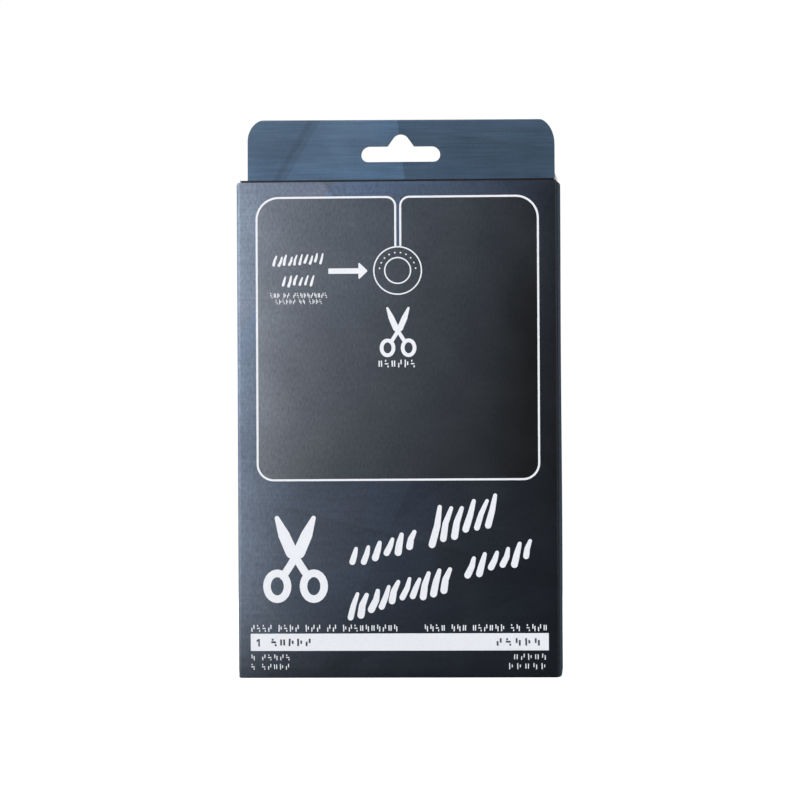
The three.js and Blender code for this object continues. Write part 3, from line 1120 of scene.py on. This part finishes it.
def plain_mesh(made, name):
    """An object's mesh with its modifiers applied."""
    bpy.context.view_layer.update()
    evaluated = made.evaluated_get(bpy.context.evaluated_depsgraph_get())
    mesh = bpy.data.meshes.new_from_object(evaluated)
    mesh.name = name
    made.modifiers.clear()
    return mesh


# ---- print


def ink(bm, name, finish="white_ink", lift=0.02 * MM, place=front_place):
    """Lays a flat mesh on a panel as a film of ink."""
    film = bpy.context.scene.print_sizes.film

    def laid(u, v, depth):
        return place(u, v, depth - lift - film)

    return settle(thicken(bm, name, laid, film, (finish,) * 3), "printed_board")


def lay_marks(mesh, lift, place=front_place):
    """Bends a mesh of flat marks on to a panel."""
    for vertex in mesh.vertices:
        u, v, height = vertex.co
        vertex.co = place(u, v, -lift - height)
    settle(piece(mesh.name, mesh, ()), "printed_board")


class BOXEDCAPE_OT_cape_drawing(bpy.types.Operator):
    """The white line drawing of the cape: outline, front slit, neck ring and arrow"""

    bl_idname = "boxed_cape.cape_drawing"
    bl_label = "Cape drawing"

    def execute(self, context):
        left, right, foot, head = DRAWING
        in_left, in_right = SLIT
        ring_head = RING_CENTRE[1] + RING_OUTER
        slit, top, low = SLIT_CORNER, HEAD_CORNER, FOOT_CORNER
        points = [(in_left, ring_head)]
        points += arc((in_left - slit, head - slit), slit, 0, 90, 8)
        points += arc((left + top, head - top), top, 90, 180, 12)
        points += arc((left + low, foot + low), low, 180, 270, 12)
        points += arc((right - low, foot + low), low, 270, 360, 12)
        points += arc((right - top, head - top), top, 0, 90, 12)
        points += arc((in_right + slit, head - slit), slit, 90, 180, 8)
        points += [(in_right, ring_head)]
        ink(ribbon(dense(points), context.scene.print_sizes.line), "print_cape_outline")

        line = 0.52 * MM
        for name, radius, sides in (("outer", RING_OUTER, 56), ("inner", RING_INNER, 36)):
            ring = disc(RING_CENTRE, radius - line / 2, sides)
            ink(ribbon(ring, line, closed=True), f"print_ring_{name}")

        # The arrow's corners: left to right and radius, in millimetres
        corners = (
            (-27.3, 160.15, 0),
            (-15.4, 160.15, 0),
            (-15.4, 157.7, 0.3),
            (-11.7, 161.25, 0.4),
            (-15.4, 164.8, 0.3),
            (-15.4, 162.3, 0),
            (-27.3, 162.3, 0),
        )
        arrow = rounded([tuple(value * MM for value in corner) for corner in corners], steps=4)
        ink(gridded(filled(arrow)), "print_arrow")
        self.ring_dots()
        return {"FINISHED"}

    def ring_dots(self):
        """Small dots over the top of the ring, set round an arc by a node tree."""
        tree = NodeTree("ring_dots")
        radius = tree.input("Arc radius", "Float", 7.2 * MM)
        count = tree.input("Dots", "Int", 10)
        size = tree.input("Dot radius", "Float", 0.32 * MM)
        film = tree.input("Film", "Float", 0.03 * MM)
        sweep = {"Start Angle": math.radians(7), "Sweep Angle": math.radians(166)}
        line = tree.add("GeometryNodeCurveArc", {"mode": "RADIUS"}, {"Radius": radius, **sweep})
        points = tree.add("GeometryNodeCurveToPoints", {"mode": "COUNT"}, {"Curve": line, "Count": count})
        dot = tree.add("GeometryNodeMeshCylinder", {}, {"Vertices": 12, "Radius": size, "Depth": film})
        tree.on_points(points, dot, "white_ink")

        def place(u, v, depth):
            return front_place(u + RING_CENTRE[0], v + RING_CENTRE[1], depth)

        lay_marks(tree.result("print_ring_dots"), 0.035 * MM, place)


# ---- marks that stand for lettering

# Brush words: left, foot, right, head in millimetres, how many marks, and the seed
BRUSH_WORDS = (
    (-19.6, 43.0, 8.0, 60.6, 4, 3),
    (12.0, 51.2, 41.0, 77.0, 4, 8),
    (-20.4, 22.2, 22.2, 46.9, 6, 5),
    (26.0, 37.8, 54.4, 57.0, 4, 14),
)
CALLOUT_WORDS = ((-49.5, 162.9, -28.7, 169.0, 6, 21, 0.05), (-45.8, 154.8, -32.5, 160.3, 4, 24, 0.03))

# Rows of small marks: left, right, foot and height in millimetres, and marks in each group
WHITE_ROWS = (
    (-50.4, -27.4, 150.6, 2.1, (3, 2, 10)),
    (-48.3, -29.5, 148.2, 1.9, (6, 2, 4)),
    (-7.7, 7.8, 122.8, 3.0, (6,)),
    (-58.6, 0.3, 18.3, 2.7, (4, 4, 3, 2, 10)),
    (10.2, 59.3, 18.3, 2.7, (4, 3, 6, 2, 4)),
    (-58.6, -42.4, 7.0, 2.3, (1, 5)),
    (-58.6, -42.6, 3.3, 2.3, (1, 5)),
    (45.4, 59.2, 7.0, 2.4, (5,)),
    (43.4, 59.4, 3.3, 2.4, (5,)),
)
DARK_ROWS = ((-50.6, -33.7, 12.6, 2.9, (5,)), (38.5, 57.3, 12.6, 2.9, (5,)))
BACK_ROWS = (
    *((-50.0, 50.0, 150.0 - 7.0 * k, 2.4, (5, 8, 3, 6, 7, 4, 9)) for k in range(6)),
    *((-50.0, 10.0, 100.0 - 7.0 * k, 2.4, (7, 4, 6, 5)) for k in range(4)),
)

# Small marks in a unit square, as bars of left, foot, width, height. None is a letter.
SMALL_MARKS = (
    ((0.05, 0.0, 0.2, 1.0), (0.55, 0.30, 0.2, 0.45)),
    ((0.05, 0.35, 0.2, 0.65), (0.55, 0.0, 0.2, 0.75)),
    ((0.05, 0.0, 0.2, 0.6), (0.55, 0.40, 0.2, 0.6)),
    ((0.0, 0.4, 0.75, 0.2), (0.05, 0.75, 0.2, 0.25), (0.55, 0.0, 0.2, 0.25)),
    ((0.05, 0.1, 0.2, 0.8), (0.55, 0.1, 0.2, 0.8)),
)


def brush_word(left, foot, right, head, count, seed, rise=0.285, weight=2.6):
    """A rising row of leaning brush strokes, none of them a letter."""
    chance = np.random.default_rng(seed)
    tall = head - foot - rise * (right - left)
    most_lean = 0.24 * tall
    strokes = round(1.6 * count)
    pitch = (right - left - weight - most_lean) / (strokes - 1)
    polygons = []
    for index in range(strokes):
        lean = most_lean * (0.60 + 0.40 * chance.random())
        height = (tall - weight) * (0.66 + 0.34 * chance.random())
        low_u = left + weight / 2 + index * pitch
        low_v = foot + weight / 2 + (tall - weight - height) * chance.random() + rise * index * pitch
        bow = 0.05 * tall * (2 * chance.random() - 1)
        middle = (low_u + lean / 2 + bow, low_v + height / 2)
        bent = [(low_u, low_v), middle, (low_u + lean, low_v + height)]
        points = dense([(u * MM, v * MM) for u, v in bent], 1.2 * MM)
        press = weight * MM * (0.90 + 0.20 * chance.random())
        shares = np.linspace(0, 1, len(points))
        polygons += stroke(points, [press * (1.0 - 0.40 * share**2) for share in shares])
    return polygons


def scissors(left, foot, right, head, line):
    """A plain pair of scissors in line, fitted to a box in millimetres."""
    grip = 0.17
    tall_grip = grip * (right - left) / (head - foot) * 1.25

    def drawn(points, *widths):
        at = [((left + u * (right - left)) * MM, (foot + v * (head - foot)) * MM) for u, v in points]
        return stroke(at, [line * width * MM for width in widths or [1] * len(at)])

    polygons = []
    for side in (-1, 1):
        loop = [(0.5 + side * 0.30 + grip * u, 0.15 + tall_grip * v) for u, v in arc((0, 0), 1, 0, 360, 20)]
        polygons += drawn(loop)
        polygons += drawn([(0.5 + side * 0.20, 0.27), (0.5 + side * 0.07, 0.42), (0.5 - side * 0.06, 0.58)])
        blade = [(0.5 - side * 0.06, 0.56), (0.5 - side * 0.19, 0.78), (0.5 - side * 0.30, 0.98)]
        polygons += drawn(blade, 1.6, 1.5, 0.6)
    return polygons


class BOXEDCAPE_OT_word_marks(bpy.types.Operator):
    """Brush marks, scissors signs and rows of small marks where a carton has lettering"""

    bl_idname = "boxed_cape.word_marks"
    bl_label = "Marks for lettering"

    def execute(self, context):
        for index, word in enumerate(BRUSH_WORDS):
            ink(gridded(union(brush_word(*word))), f"print_brush_word_{index + 1}")
        for index, word in enumerate(CALLOUT_WORDS):
            ink(gridded(union(brush_word(*word, 1.05))), f"print_callout_{index + 1}")
        ink(gridded(union(scissors(-53.0, 31.4, -28.8, 63.9, 3.0))), "print_scissors_large")
        ink(gridded(union(scissors(-6.8, 127.7, 7.1, 146.7, 1.5))), "print_scissors_small")
        strip = rectangle(-58.8 * MM, 10.7 * MM, 59.2 * MM, 17.5 * MM)
        ink(gridded(filled(strip)), "print_size_strip")
        one = [(-56.3 * MM, 14.6 * MM), (-55.5 * MM, 15.2 * MM), (-55.5 * MM, 12.7 * MM)]
        ink(union(stroke(one, [0.6 * MM] * 3)), "print_numeral", "dark_ink", lift=0.06 * MM)
        lay_marks(marks_mesh(WHITE_ROWS, "white_ink", "print_small_marks_white_ink", 0.16), 0.035 * MM)
        lay_marks(marks_mesh(DARK_ROWS, "dark_ink", "print_small_marks_dark_ink", 0.25), 0.075 * MM)
        return {"FINISHED"}


def marks_mesh(rows, finish, name, weight=0.15):
    """A flat mesh of small bars in rows, set on points by a node tree."""
    chance = np.random.default_rng(17)
    places, sizes = [], []
    for left, right, foot, height, groups in rows:
        pitch = (right - left) / (sum(groups) + 0.8 * (len(groups) - 1))
        wide = min(0.72 * pitch, 0.85 * height)
        thick = weight * height
        along = left
        for group in groups:
            for kind in chance.integers(0, len(SMALL_MARKS), group):
                for bar_u, bar_v, bar_wide, bar_tall in SMALL_MARKS[kind]:
                    size_u = bar_wide * wide if bar_wide > 0.2 else thick
                    size_v = bar_tall * height if bar_tall > 0.2 else thick
                    place = (along + bar_u * wide + size_u / 2, foot + bar_v * height + size_v / 2)
                    places.append((place[0] * MM, place[1] * MM, 0))
                    sizes.append((size_u * MM, size_v * MM, 1))
                along += pitch
            along += 0.8 * pitch
    points = bpy.data.meshes.new(name + "_points")
    points.from_pydata(places, [], [])
    stretch = points.attributes.new("stretch", "FLOAT_VECTOR", "POINT")
    stretch.data.foreach_set("vector", np.array(sizes).ravel())
    tree = NodeTree(name)
    film = tree.input("Film", "Float", 0.03 * MM)
    seed = tree.input("Seed", "Int", 5)
    size = tree.add("ShaderNodeCombineXYZ", {}, {0: 1.0, 1: 1.0, 2: film})
    bar = tree.add("GeometryNodeMeshCube", {}, {"Size": size})
    vectors = {"data_type": "FLOAT_VECTOR"}
    named = tree.add("GeometryNodeInputNamedAttribute", vectors, {"Name": "stretch"})
    vary = {"Min": (0, 0, -0.05), "Max": (0, 0, 0.05), "Seed": seed}
    turn = tree.add("FunctionNodeRandomValue", vectors, vary)
    tree.on_points(tree.entry, bar, finish, Scale=named, Rotation=turn)
    return tree.result(name, points)


class BOXEDCAPE_OT_back_print(bpy.types.Operator):
    """Plain marks on the back panel: ten rows of small marks between two rules"""

    bl_idname = "boxed_cape.back_print"
    bl_label = "Back print"

    def execute(self, context):
        def place(u, v, depth):
            return back_place(-u, v, depth)

        lay_marks(marks_mesh(BACK_ROWS, "white_ink", "print_back_marks"), 0.035 * MM, place)
        for index, height in enumerate((166 * MM, 60 * MM)):
            line = dense([(-50 * MM, height), (50 * MM, height)])
            ink(ribbon(line, 0.6 * MM), f"print_back_rule_{index + 1}", place=back_place)
        return {"FINISHED"}


# ---- the cape and its collar

HEM_WIDTH = 8 * MM
TAPE = 0.45 * MM
BAND = 1.4 * MM
BAND_REAR = COLLAR[1].y - BAND / 2
BAND_OUTER = COLLAR[0].y + BAND / 2
BAND_INNER = BAND_OUTER + 1.7 * MM
BAND_ENDS = (62 * MM, 122 * MM)
HOLES = {"line": -12 * MM, "first": 68 * MM, "pitch": 10 * MM, "count": 10, "radius": 2.3 * MM}
POST_HOLES = (4, 5)


def fold(value, count):
    """On which fold a place is: the fold, the share along it, its way, and the nearest crease."""
    leaf = min(count - 1, int(value))
    share = value - leaf
    return leaf, share, (-1) ** leaf, leaf + (share > 0.5)


class BOXEDCAPE_OT_folded_cape(bpy.types.Operator):
    """The cape, folded to and fro across and then along, with the tape on its outer leaf"""

    bl_idname = "boxed_cape.folded_cape"
    bl_label = "Folded cape"

    def execute(self, context):
        sizes = context.scene.cape_sizes
        low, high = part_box("cape_cloth")
        leaves, turns = sizes.leaves, sizes.turns
        room_x, room_y, room_z = 3 * MM, 0.15 * MM, 0.4 * MM
        pitch = (high.y - low.y - 2 * room_y) / (leaves * turns)
        stack = pitch * leaves
        half = (high.x - low.x) / 2 - room_x
        middle = (low.z + high.z) / 2
        flat_half = (high.z - low.z) / 2 - stack - room_z
        across_bend, along_bend = 0.04, 0.02

        def across(value):
            """Folding across: x and the height in the stack of leaves."""
            leaf, share, way, crease = fold(value, leaves)
            near = min(share, 1 - share)
            height = leaf + 0.5
            if near < across_bend and 0 < crease < leaves:
                ease = 0.5 * (1 - math.sin(near / across_bend * math.pi / 2))
                height += ease if crease > leaf else -ease
            reach = half * (1 + 0.012 * math.sin(leaf * 2.4))
            return way * (2 * share - 1) * reach, height * pitch

        def along(value, height):
            """Turning along: z and y, with each turn's layers bent round its end."""
            turn, share, way, crease = fold(value, turns)
            near = min(share, 1 - share)
            level = turn * stack + (height if way > 0 else stack - height)
            if near < along_bend and 0 < crease < turns:
                up = way if crease > turn else -way
                line = crease * stack
                angle = (1 - near / along_bend) * math.pi / 2
                round_end = up * (flat_half + abs(level - line) * math.sin(angle))
                return middle + round_end, line + (level - line) * math.cos(angle)
            flat = 2 * (share - along_bend) / (1 - 2 * along_bend) - 1
            return middle + flat_half * way * max(-1.0, min(1.0, flat)), level

        bends = (0.0, 0.04, 0.10, 0.30, 0.50, 0.70, 0.90, 0.96)
        columns = [leaf + t for leaf in range(leaves) for t in bends] + [leaves]
        bends = (0.0, 0.006, 0.012, 0.02, 0.25, 0.5, 0.75, 0.98, 0.988, 0.994)
        rows = [turn + t for turn in range(turns) for t in bends] + [turns]
        points = []
        for row in rows:
            for column in columns:
                x, height = across(column)
                z, level = along(row, height)
                slack = 0.5 * MM * math.sin(z / (31 * MM) + level / (3 * MM))
                points.append((x + slack, low.y + room_y + level, z))
        wide = len(columns)
        corners = [row * wide + k for row in range(len(rows) - 1) for k in range(wide - 1)]
        mesh = bpy.data.meshes.new("cape_sheet")
        mesh.from_pydata(points, [], [(k, k + 1, k + wide + 1, k + wide) for k in corners])
        mesh.update()
        cape = piece("cape_sheet", mesh, ("woven_cloth",), sharp=180)
        solid = cape.modifiers.new("cloth", "SOLIDIFY")
        solid.thickness = 0.09 * MM
        solid.offset = 0
        solid.use_even_offset = False
        cape.data = plain_mesh(cape, "cape_sheet")
        settle(cape, "cape_cloth", "cape_cloth")
        trim = [self.hem_tape(), self.stitches(sizes.stitch)]
        return {"FINISHED"}

    def hem_tape(self):
        """The tape round two sides of the outer leaf, thinner towards its edges."""
        low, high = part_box("hem_binding")
        in_x, in_z = high.x - HEM_WIDTH, high.z - HEM_WIDTH
        rim = 0.9 * MM

        def place(u, v, depth):
            near = min(high.x - u, high.z - v, max(u - in_x, v - in_z))
            share = min(1.0, 0.35 + 0.65 * max(0.0, near) / rim)
            middle = (low.y + high.y) / 2 + ripple(u, v, 0.06 * MM, 1.2)
            return Vector((u, middle + (depth - TAPE / 2) * share, v))

        outline = [(high.x, low.z), (high.x, high.z), (low.x, high.z), (low.x, in_z)]
        outline += [(in_x, in_z), (in_x, low.z)]
        bends = [
            [(inner, inner + rim, 2), (outer - rim, outer, 2)]
            for inner, outer in ((in_x, high.x), (in_z, high.z))
        ]
        cut = {"bends": bends, "spacing": (4 * MM,) * 2, "stuff": (TAPE, ("ribbed_tape",) * 3)}
        return board("hem_tape", outline, place, "hem_binding", slot="binding_tape", **cut)

    def stitches(self, pitch):
        """Two rows of stitches along the hem tape."""
        low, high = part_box("hem_binding")
        level = low.y - 0.02 * MM
        start_x, start_z = low.x + 1.2 * MM, low.z + 1.2 * MM
        corners = []
        for inset in (1.2 * MM, HEM_WIDTH - 1.2 * MM):
            x, z = high.x - inset, high.z - inset
            corners += [(start_x, level, z), (x, level, z), (x, level, start_z)]
        return stitched(corners, [(0, 1), (1, 2), (3, 4), (4, 5)], "hem_stitches", pitch)


def stitched(points, lines, name, pitch):
    """Stitches along lines, each a small rounded bead set there by a node tree."""
    mesh = bpy.data.meshes.new(name + "_lines")
    mesh.from_pydata(points, lines, [])
    tree = NodeTree(name)
    length = tree.input("Stitch length", "Float", pitch)
    thick = tree.input("Thread radius", "Float", 0.16 * MM)
    curve = tree.add("GeometryNodeMeshToCurve", {}, {"Mesh": tree.entry})
    sockets = {"Curve": curve, "Length": length}
    points = tree.add("GeometryNodeCurveToPoints", {"mode": "LENGTH"}, sockets)
    turn = Wire(tree, points.socket.node.outputs["Rotation"])
    bead = tree.add("GeometryNodeMeshUVSphere", {}, {"Segments": 8, "Rings": 6, "Radius": 1.0})
    size = tree.add("ShaderNodeCombineXYZ", {}, {0: thick, 1: thick, 2: length * 0.36})
    tree.on_points(points, bead, "stitch_thread", Rotation=turn, Scale=size)
    return settle(piece(name, tree.result(name, mesh), ()), "binding_tape")


def band_path():
    """The collar's path from its outer end, over the top and under the foot to its inner end.

    Gives the distance along it, Y, Z and the outward direction in degrees at each point.
    """
    head_radius = (BAND_REAR - BAND_OUTER) / 2
    foot_radius = (BAND_REAR - BAND_INNER) / 2
    head = COLLAR[1].z - BAND / 2 - head_radius
    foot = COLLAR[0].z + BAND / 2 + foot_radius
    points = [(BAND_OUTER, BAND_ENDS[0])]
    points += arc((BAND_REAR - head_radius, head), head_radius, 180, 0, 18)
    points += arc((BAND_REAR - foot_radius, foot), foot_radius, 0, -180, 14)
    points += [(BAND_INNER, BAND_ENDS[1])]
    facing = [180, *np.linspace(180, 0, 19), *np.linspace(0, -180, 15), -180]
    steps = [math.dist(a, b) for a, b in zip(points, points[1:])]
    return np.concatenate([[0], np.cumsum(steps)]), np.array(points), np.array(facing)


def belt(name, low_x, high_x, holes, finish, node, slot):
    """A band of rubber or tape along the collar's path, with soft long edges."""
    run, points, facing = band_path()
    length = run[-1]
    rim = 1.2 * MM

    def place(u, s, depth):
        y, z = (np.interp(s, run, points[:, k]) for k in (0, 1))
        turn = math.radians(np.interp(s, run, facing))
        near = max(0.0, min(u - low_x, high_x - u, s, length - s))
        round_off = math.sqrt(1 - (1 - min(1.0, near / rim)) ** 2)
        out = (BAND / 2 - depth) * (0.30 + 0.70 * round_off)
        return Vector((u, y + out * math.cos(turn), z + out * math.sin(turn)))

    ends = [(low_x, low_x + rim, 5), (high_x - rim, high_x, 5)]
    curves = [(0, rim, 5), (run[1], run[19], 16), (run[20], run[34], 12), (length - rim, length, 5)]
    cut = {"bends": (ends, curves), "spacing": (5 * MM, 6 * MM), "stuff": (BAND, (finish,) * 3)}
    board(name, rectangle(low_x, 0, high_x, length), place, node, slot=slot, holes=holes, **cut)


class BOXEDCAPE_OT_neck_collar(bpy.types.Operator):
    """The rubber collar with its holes, its stitched tape binding and the two closing posts"""

    bl_idname = "boxed_cape.neck_collar"
    bl_label = "Neck collar"

    def execute(self, context):
        heights = [HOLES["first"] + HOLES["pitch"] * k for k in range(HOLES["count"])]
        inner_end = band_path()[0][-1] - BAND_ENDS[1]
        runs = [z - BAND_ENDS[0] for z in heights] + [inner_end + heights[k] for k in POST_HOLES]
        holes = [disc((HOLES["line"], run), HOLES["radius"], 24) for run in runs]
        rubber = ("matt_rubber", "neck_collar", "collar_rubber")
        belt("collar_band", COLLAR[0].x, COLLAR[1].x, holes, *rubber)
        low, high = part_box("neckline_binding")
        tape = ("ribbed_tape", "neckline_binding", "binding_tape")
        belt("neckline_tape", low.x, high.x, (), *tape)
        for name in ("closure_post_1", "closure_post_2"):
            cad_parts[name].data.materials[0] = material("gloss_plastic")
        level, middle = low.y - 0.05 * MM, (low.x + high.x) / 2
        ends = [(middle, level, 64 * MM), (middle, level, 175 * MM)]
        stitched(ends, [(0, 1)], "binding_stitches", context.scene.cape_sizes.stitch)
        return {"FINISHED"}


# ---- stage


def direction(azimuth, elevation):
    """A direction in degrees round from the carton's front and up from the floor."""
    turn, lift = math.radians(azimuth), math.radians(elevation)
    return Vector((math.sin(turn) * math.cos(lift), -math.cos(turn) * math.cos(lift), math.sin(lift)))


# Soft boxes: azimuth and elevation from the carton's front, distance, size, power
LIGHTS = (
    ("key_light", -38, 34, 1.5, 1.1, 11.5),
    ("gloss_light", -24, 14, 2.2, 0.7, 3.5),
    ("fill_light", 42, 24, 1.7, 1.0, 5.0),
    ("top_light", 0, 88, 1.6, 1.6, 11.0),
    ("rear_light", 160, 35, 1.8, 1.2, 12.0),
)


class BOXEDCAPE_OT_studio(bpy.types.Operator):
    """A pale floor, soft lights and the camera"""

    bl_idname = "boxed_cape.studio"
    bl_label = "Studio"

    def execute(self, context):
        self.floor()
        self.surroundings(context)
        self.lights()
        self.camera(context)
        context.scene.view_settings.view_transform = "Standard"
        return {"FINISHED"}

    def floor(self):
        bm = bmesh.new()
        bmesh.ops.create_circle(bm, cap_ends=True, segments=64, radius=1.8)
        mesh = bpy.data.meshes.new("floor")
        bm.to_mesh(mesh)
        bm.free()
        mesh.materials.append(material("floor_paper"))
        made = linked("floor", mesh)
        made.location.z = -0.02 * MM
        made.visible_glossy = False

    def surroundings(self, context):
        """White where it is looked at; dimmer where it lights or is mirrored."""
        world = bpy.data.worlds.new("studio")
        world.use_nodes = True
        world.node_tree.nodes.clear()
        bench = Bench(world.node_tree)
        rays = bench.add("ShaderNodeLightPath").socket.node.outputs
        total = 0.0
        for name, strength in (("Camera", 1.02), ("Diffuse", 0.30), ("Glossy", 0.06)):
            total = Wire(bench, rays[f"Is {name} Ray"]) * strength + total
        back = bench.add("ShaderNodeBackground", {}, {"Color": (1, 1, 1, 1), "Strength": total})
        bench.add("ShaderNodeOutputWorld", {}, {0: back})
        context.scene.world = world

    def lights(self):
        middle = Vector((0, FRONT, 0.11))
        for name, azimuth, elevation, distance, size, power in LIGHTS:
            away = direction(azimuth, elevation)
            data = bpy.data.lights.new(name, "AREA")
            data.shape = "DISK"
            data.size = size
            data.energy = power
            lamp = linked(name, data)
            lamp.location = middle + away * distance
            lamp.rotation_euler = away.to_track_quat("Z", "Y").to_euler()

    def camera(self, context):
        """Looks from a little to the right and below, rolled by a small tilt."""
        target = Vector((0.8 * MM, FRONT, 109.85 * MM))
        azimuth, elevation, distance, tilt = 3.22, -2.11, 1.360, math.radians(-0.24)
        away = direction(azimuth, elevation)
        right = (-away).cross(Vector((0, 0, 1))).normalized()
        up = right.cross(-away)
        rolled_right = right * math.cos(tilt) + up * math.sin(tilt)
        rolled_up = up * math.cos(tilt) - right * math.sin(tilt)
        data = bpy.data.cameras.new("camera")
        data.sensor_width = 36.0
        data.lens = 154.4
        data.clip_start = 0.05
        data.clip_end = 30.0
        axes = Matrix((rolled_right, rolled_up, away)).transposed().to_4x4()
        made = linked("camera", data)
        made.matrix_world = Matrix.Translation(target + away * distance) @ axes
        context.scene.camera = made


# ---- panel and registration


STEPS = (
    BOXEDCAPE_OT_studio,
    BOXEDCAPE_OT_wrap,
    BOXEDCAPE_OT_header,
    BOXEDCAPE_OT_top_closure,
    BOXEDCAPE_OT_base,
    BOXEDCAPE_OT_cape_drawing,
    BOXEDCAPE_OT_word_marks,
    BOXEDCAPE_OT_back_print,
    BOXEDCAPE_OT_folded_cape,
    BOXEDCAPE_OT_neck_collar,
)
GROUPS = {"carton_sizes": CartonSizes, "print_sizes": PrintSizes, "cape_sizes": CapeSizes}


class VIEW3D_PT_boxed_cape(bpy.types.Panel):
    """Sizes of the boxed cape, and the steps that build it"""

    bl_label = "Boxed cape"
    bl_idname = "VIEW3D_PT_boxed_cape"
    bl_space_type = "VIEW_3D"
    bl_region_type = "UI"
    bl_category = "Boxed cape"

    def draw(self, context):
        for key in GROUPS:
            group = getattr(context.scene, key)
            box = self.layout.box()
            for name in group.bl_rna.properties.keys():
                if name not in {"rna_type", "name"}:
                    box.prop(group, name)
        for step in STEPS:
            self.layout.operator(step.bl_idname)


def register():
    for kind in (*GROUPS.values(), *STEPS, VIEW3D_PT_boxed_cape):
        bpy.utils.register_class(kind)
    for name, kind in GROUPS.items():
        setattr(bpy.types.Scene, name, bpy.props.PointerProperty(type=kind))


def unregister():
    for name in GROUPS:
        delattr(bpy.types.Scene, name)
    for kind in reversed((*GROUPS.values(), *STEPS, VIEW3D_PT_boxed_cape)):
        bpy.utils.unregister_class(kind)


def main():
    register()
    bpy.ops.boxed_cape.studio()
    bpy.ops.boxed_cape.wrap()
    bpy.ops.boxed_cape.header()
    bpy.ops.boxed_cape.top_closure()
    bpy.ops.boxed_cape.base()
    bpy.ops.boxed_cape.cape_drawing()
    bpy.ops.boxed_cape.word_marks()
    bpy.ops.boxed_cape.back_print()
    bpy.ops.boxed_cape.folded_cape()
    bpy.ops.boxed_cape.neck_collar()


if __name__ == "__main__":
    main()
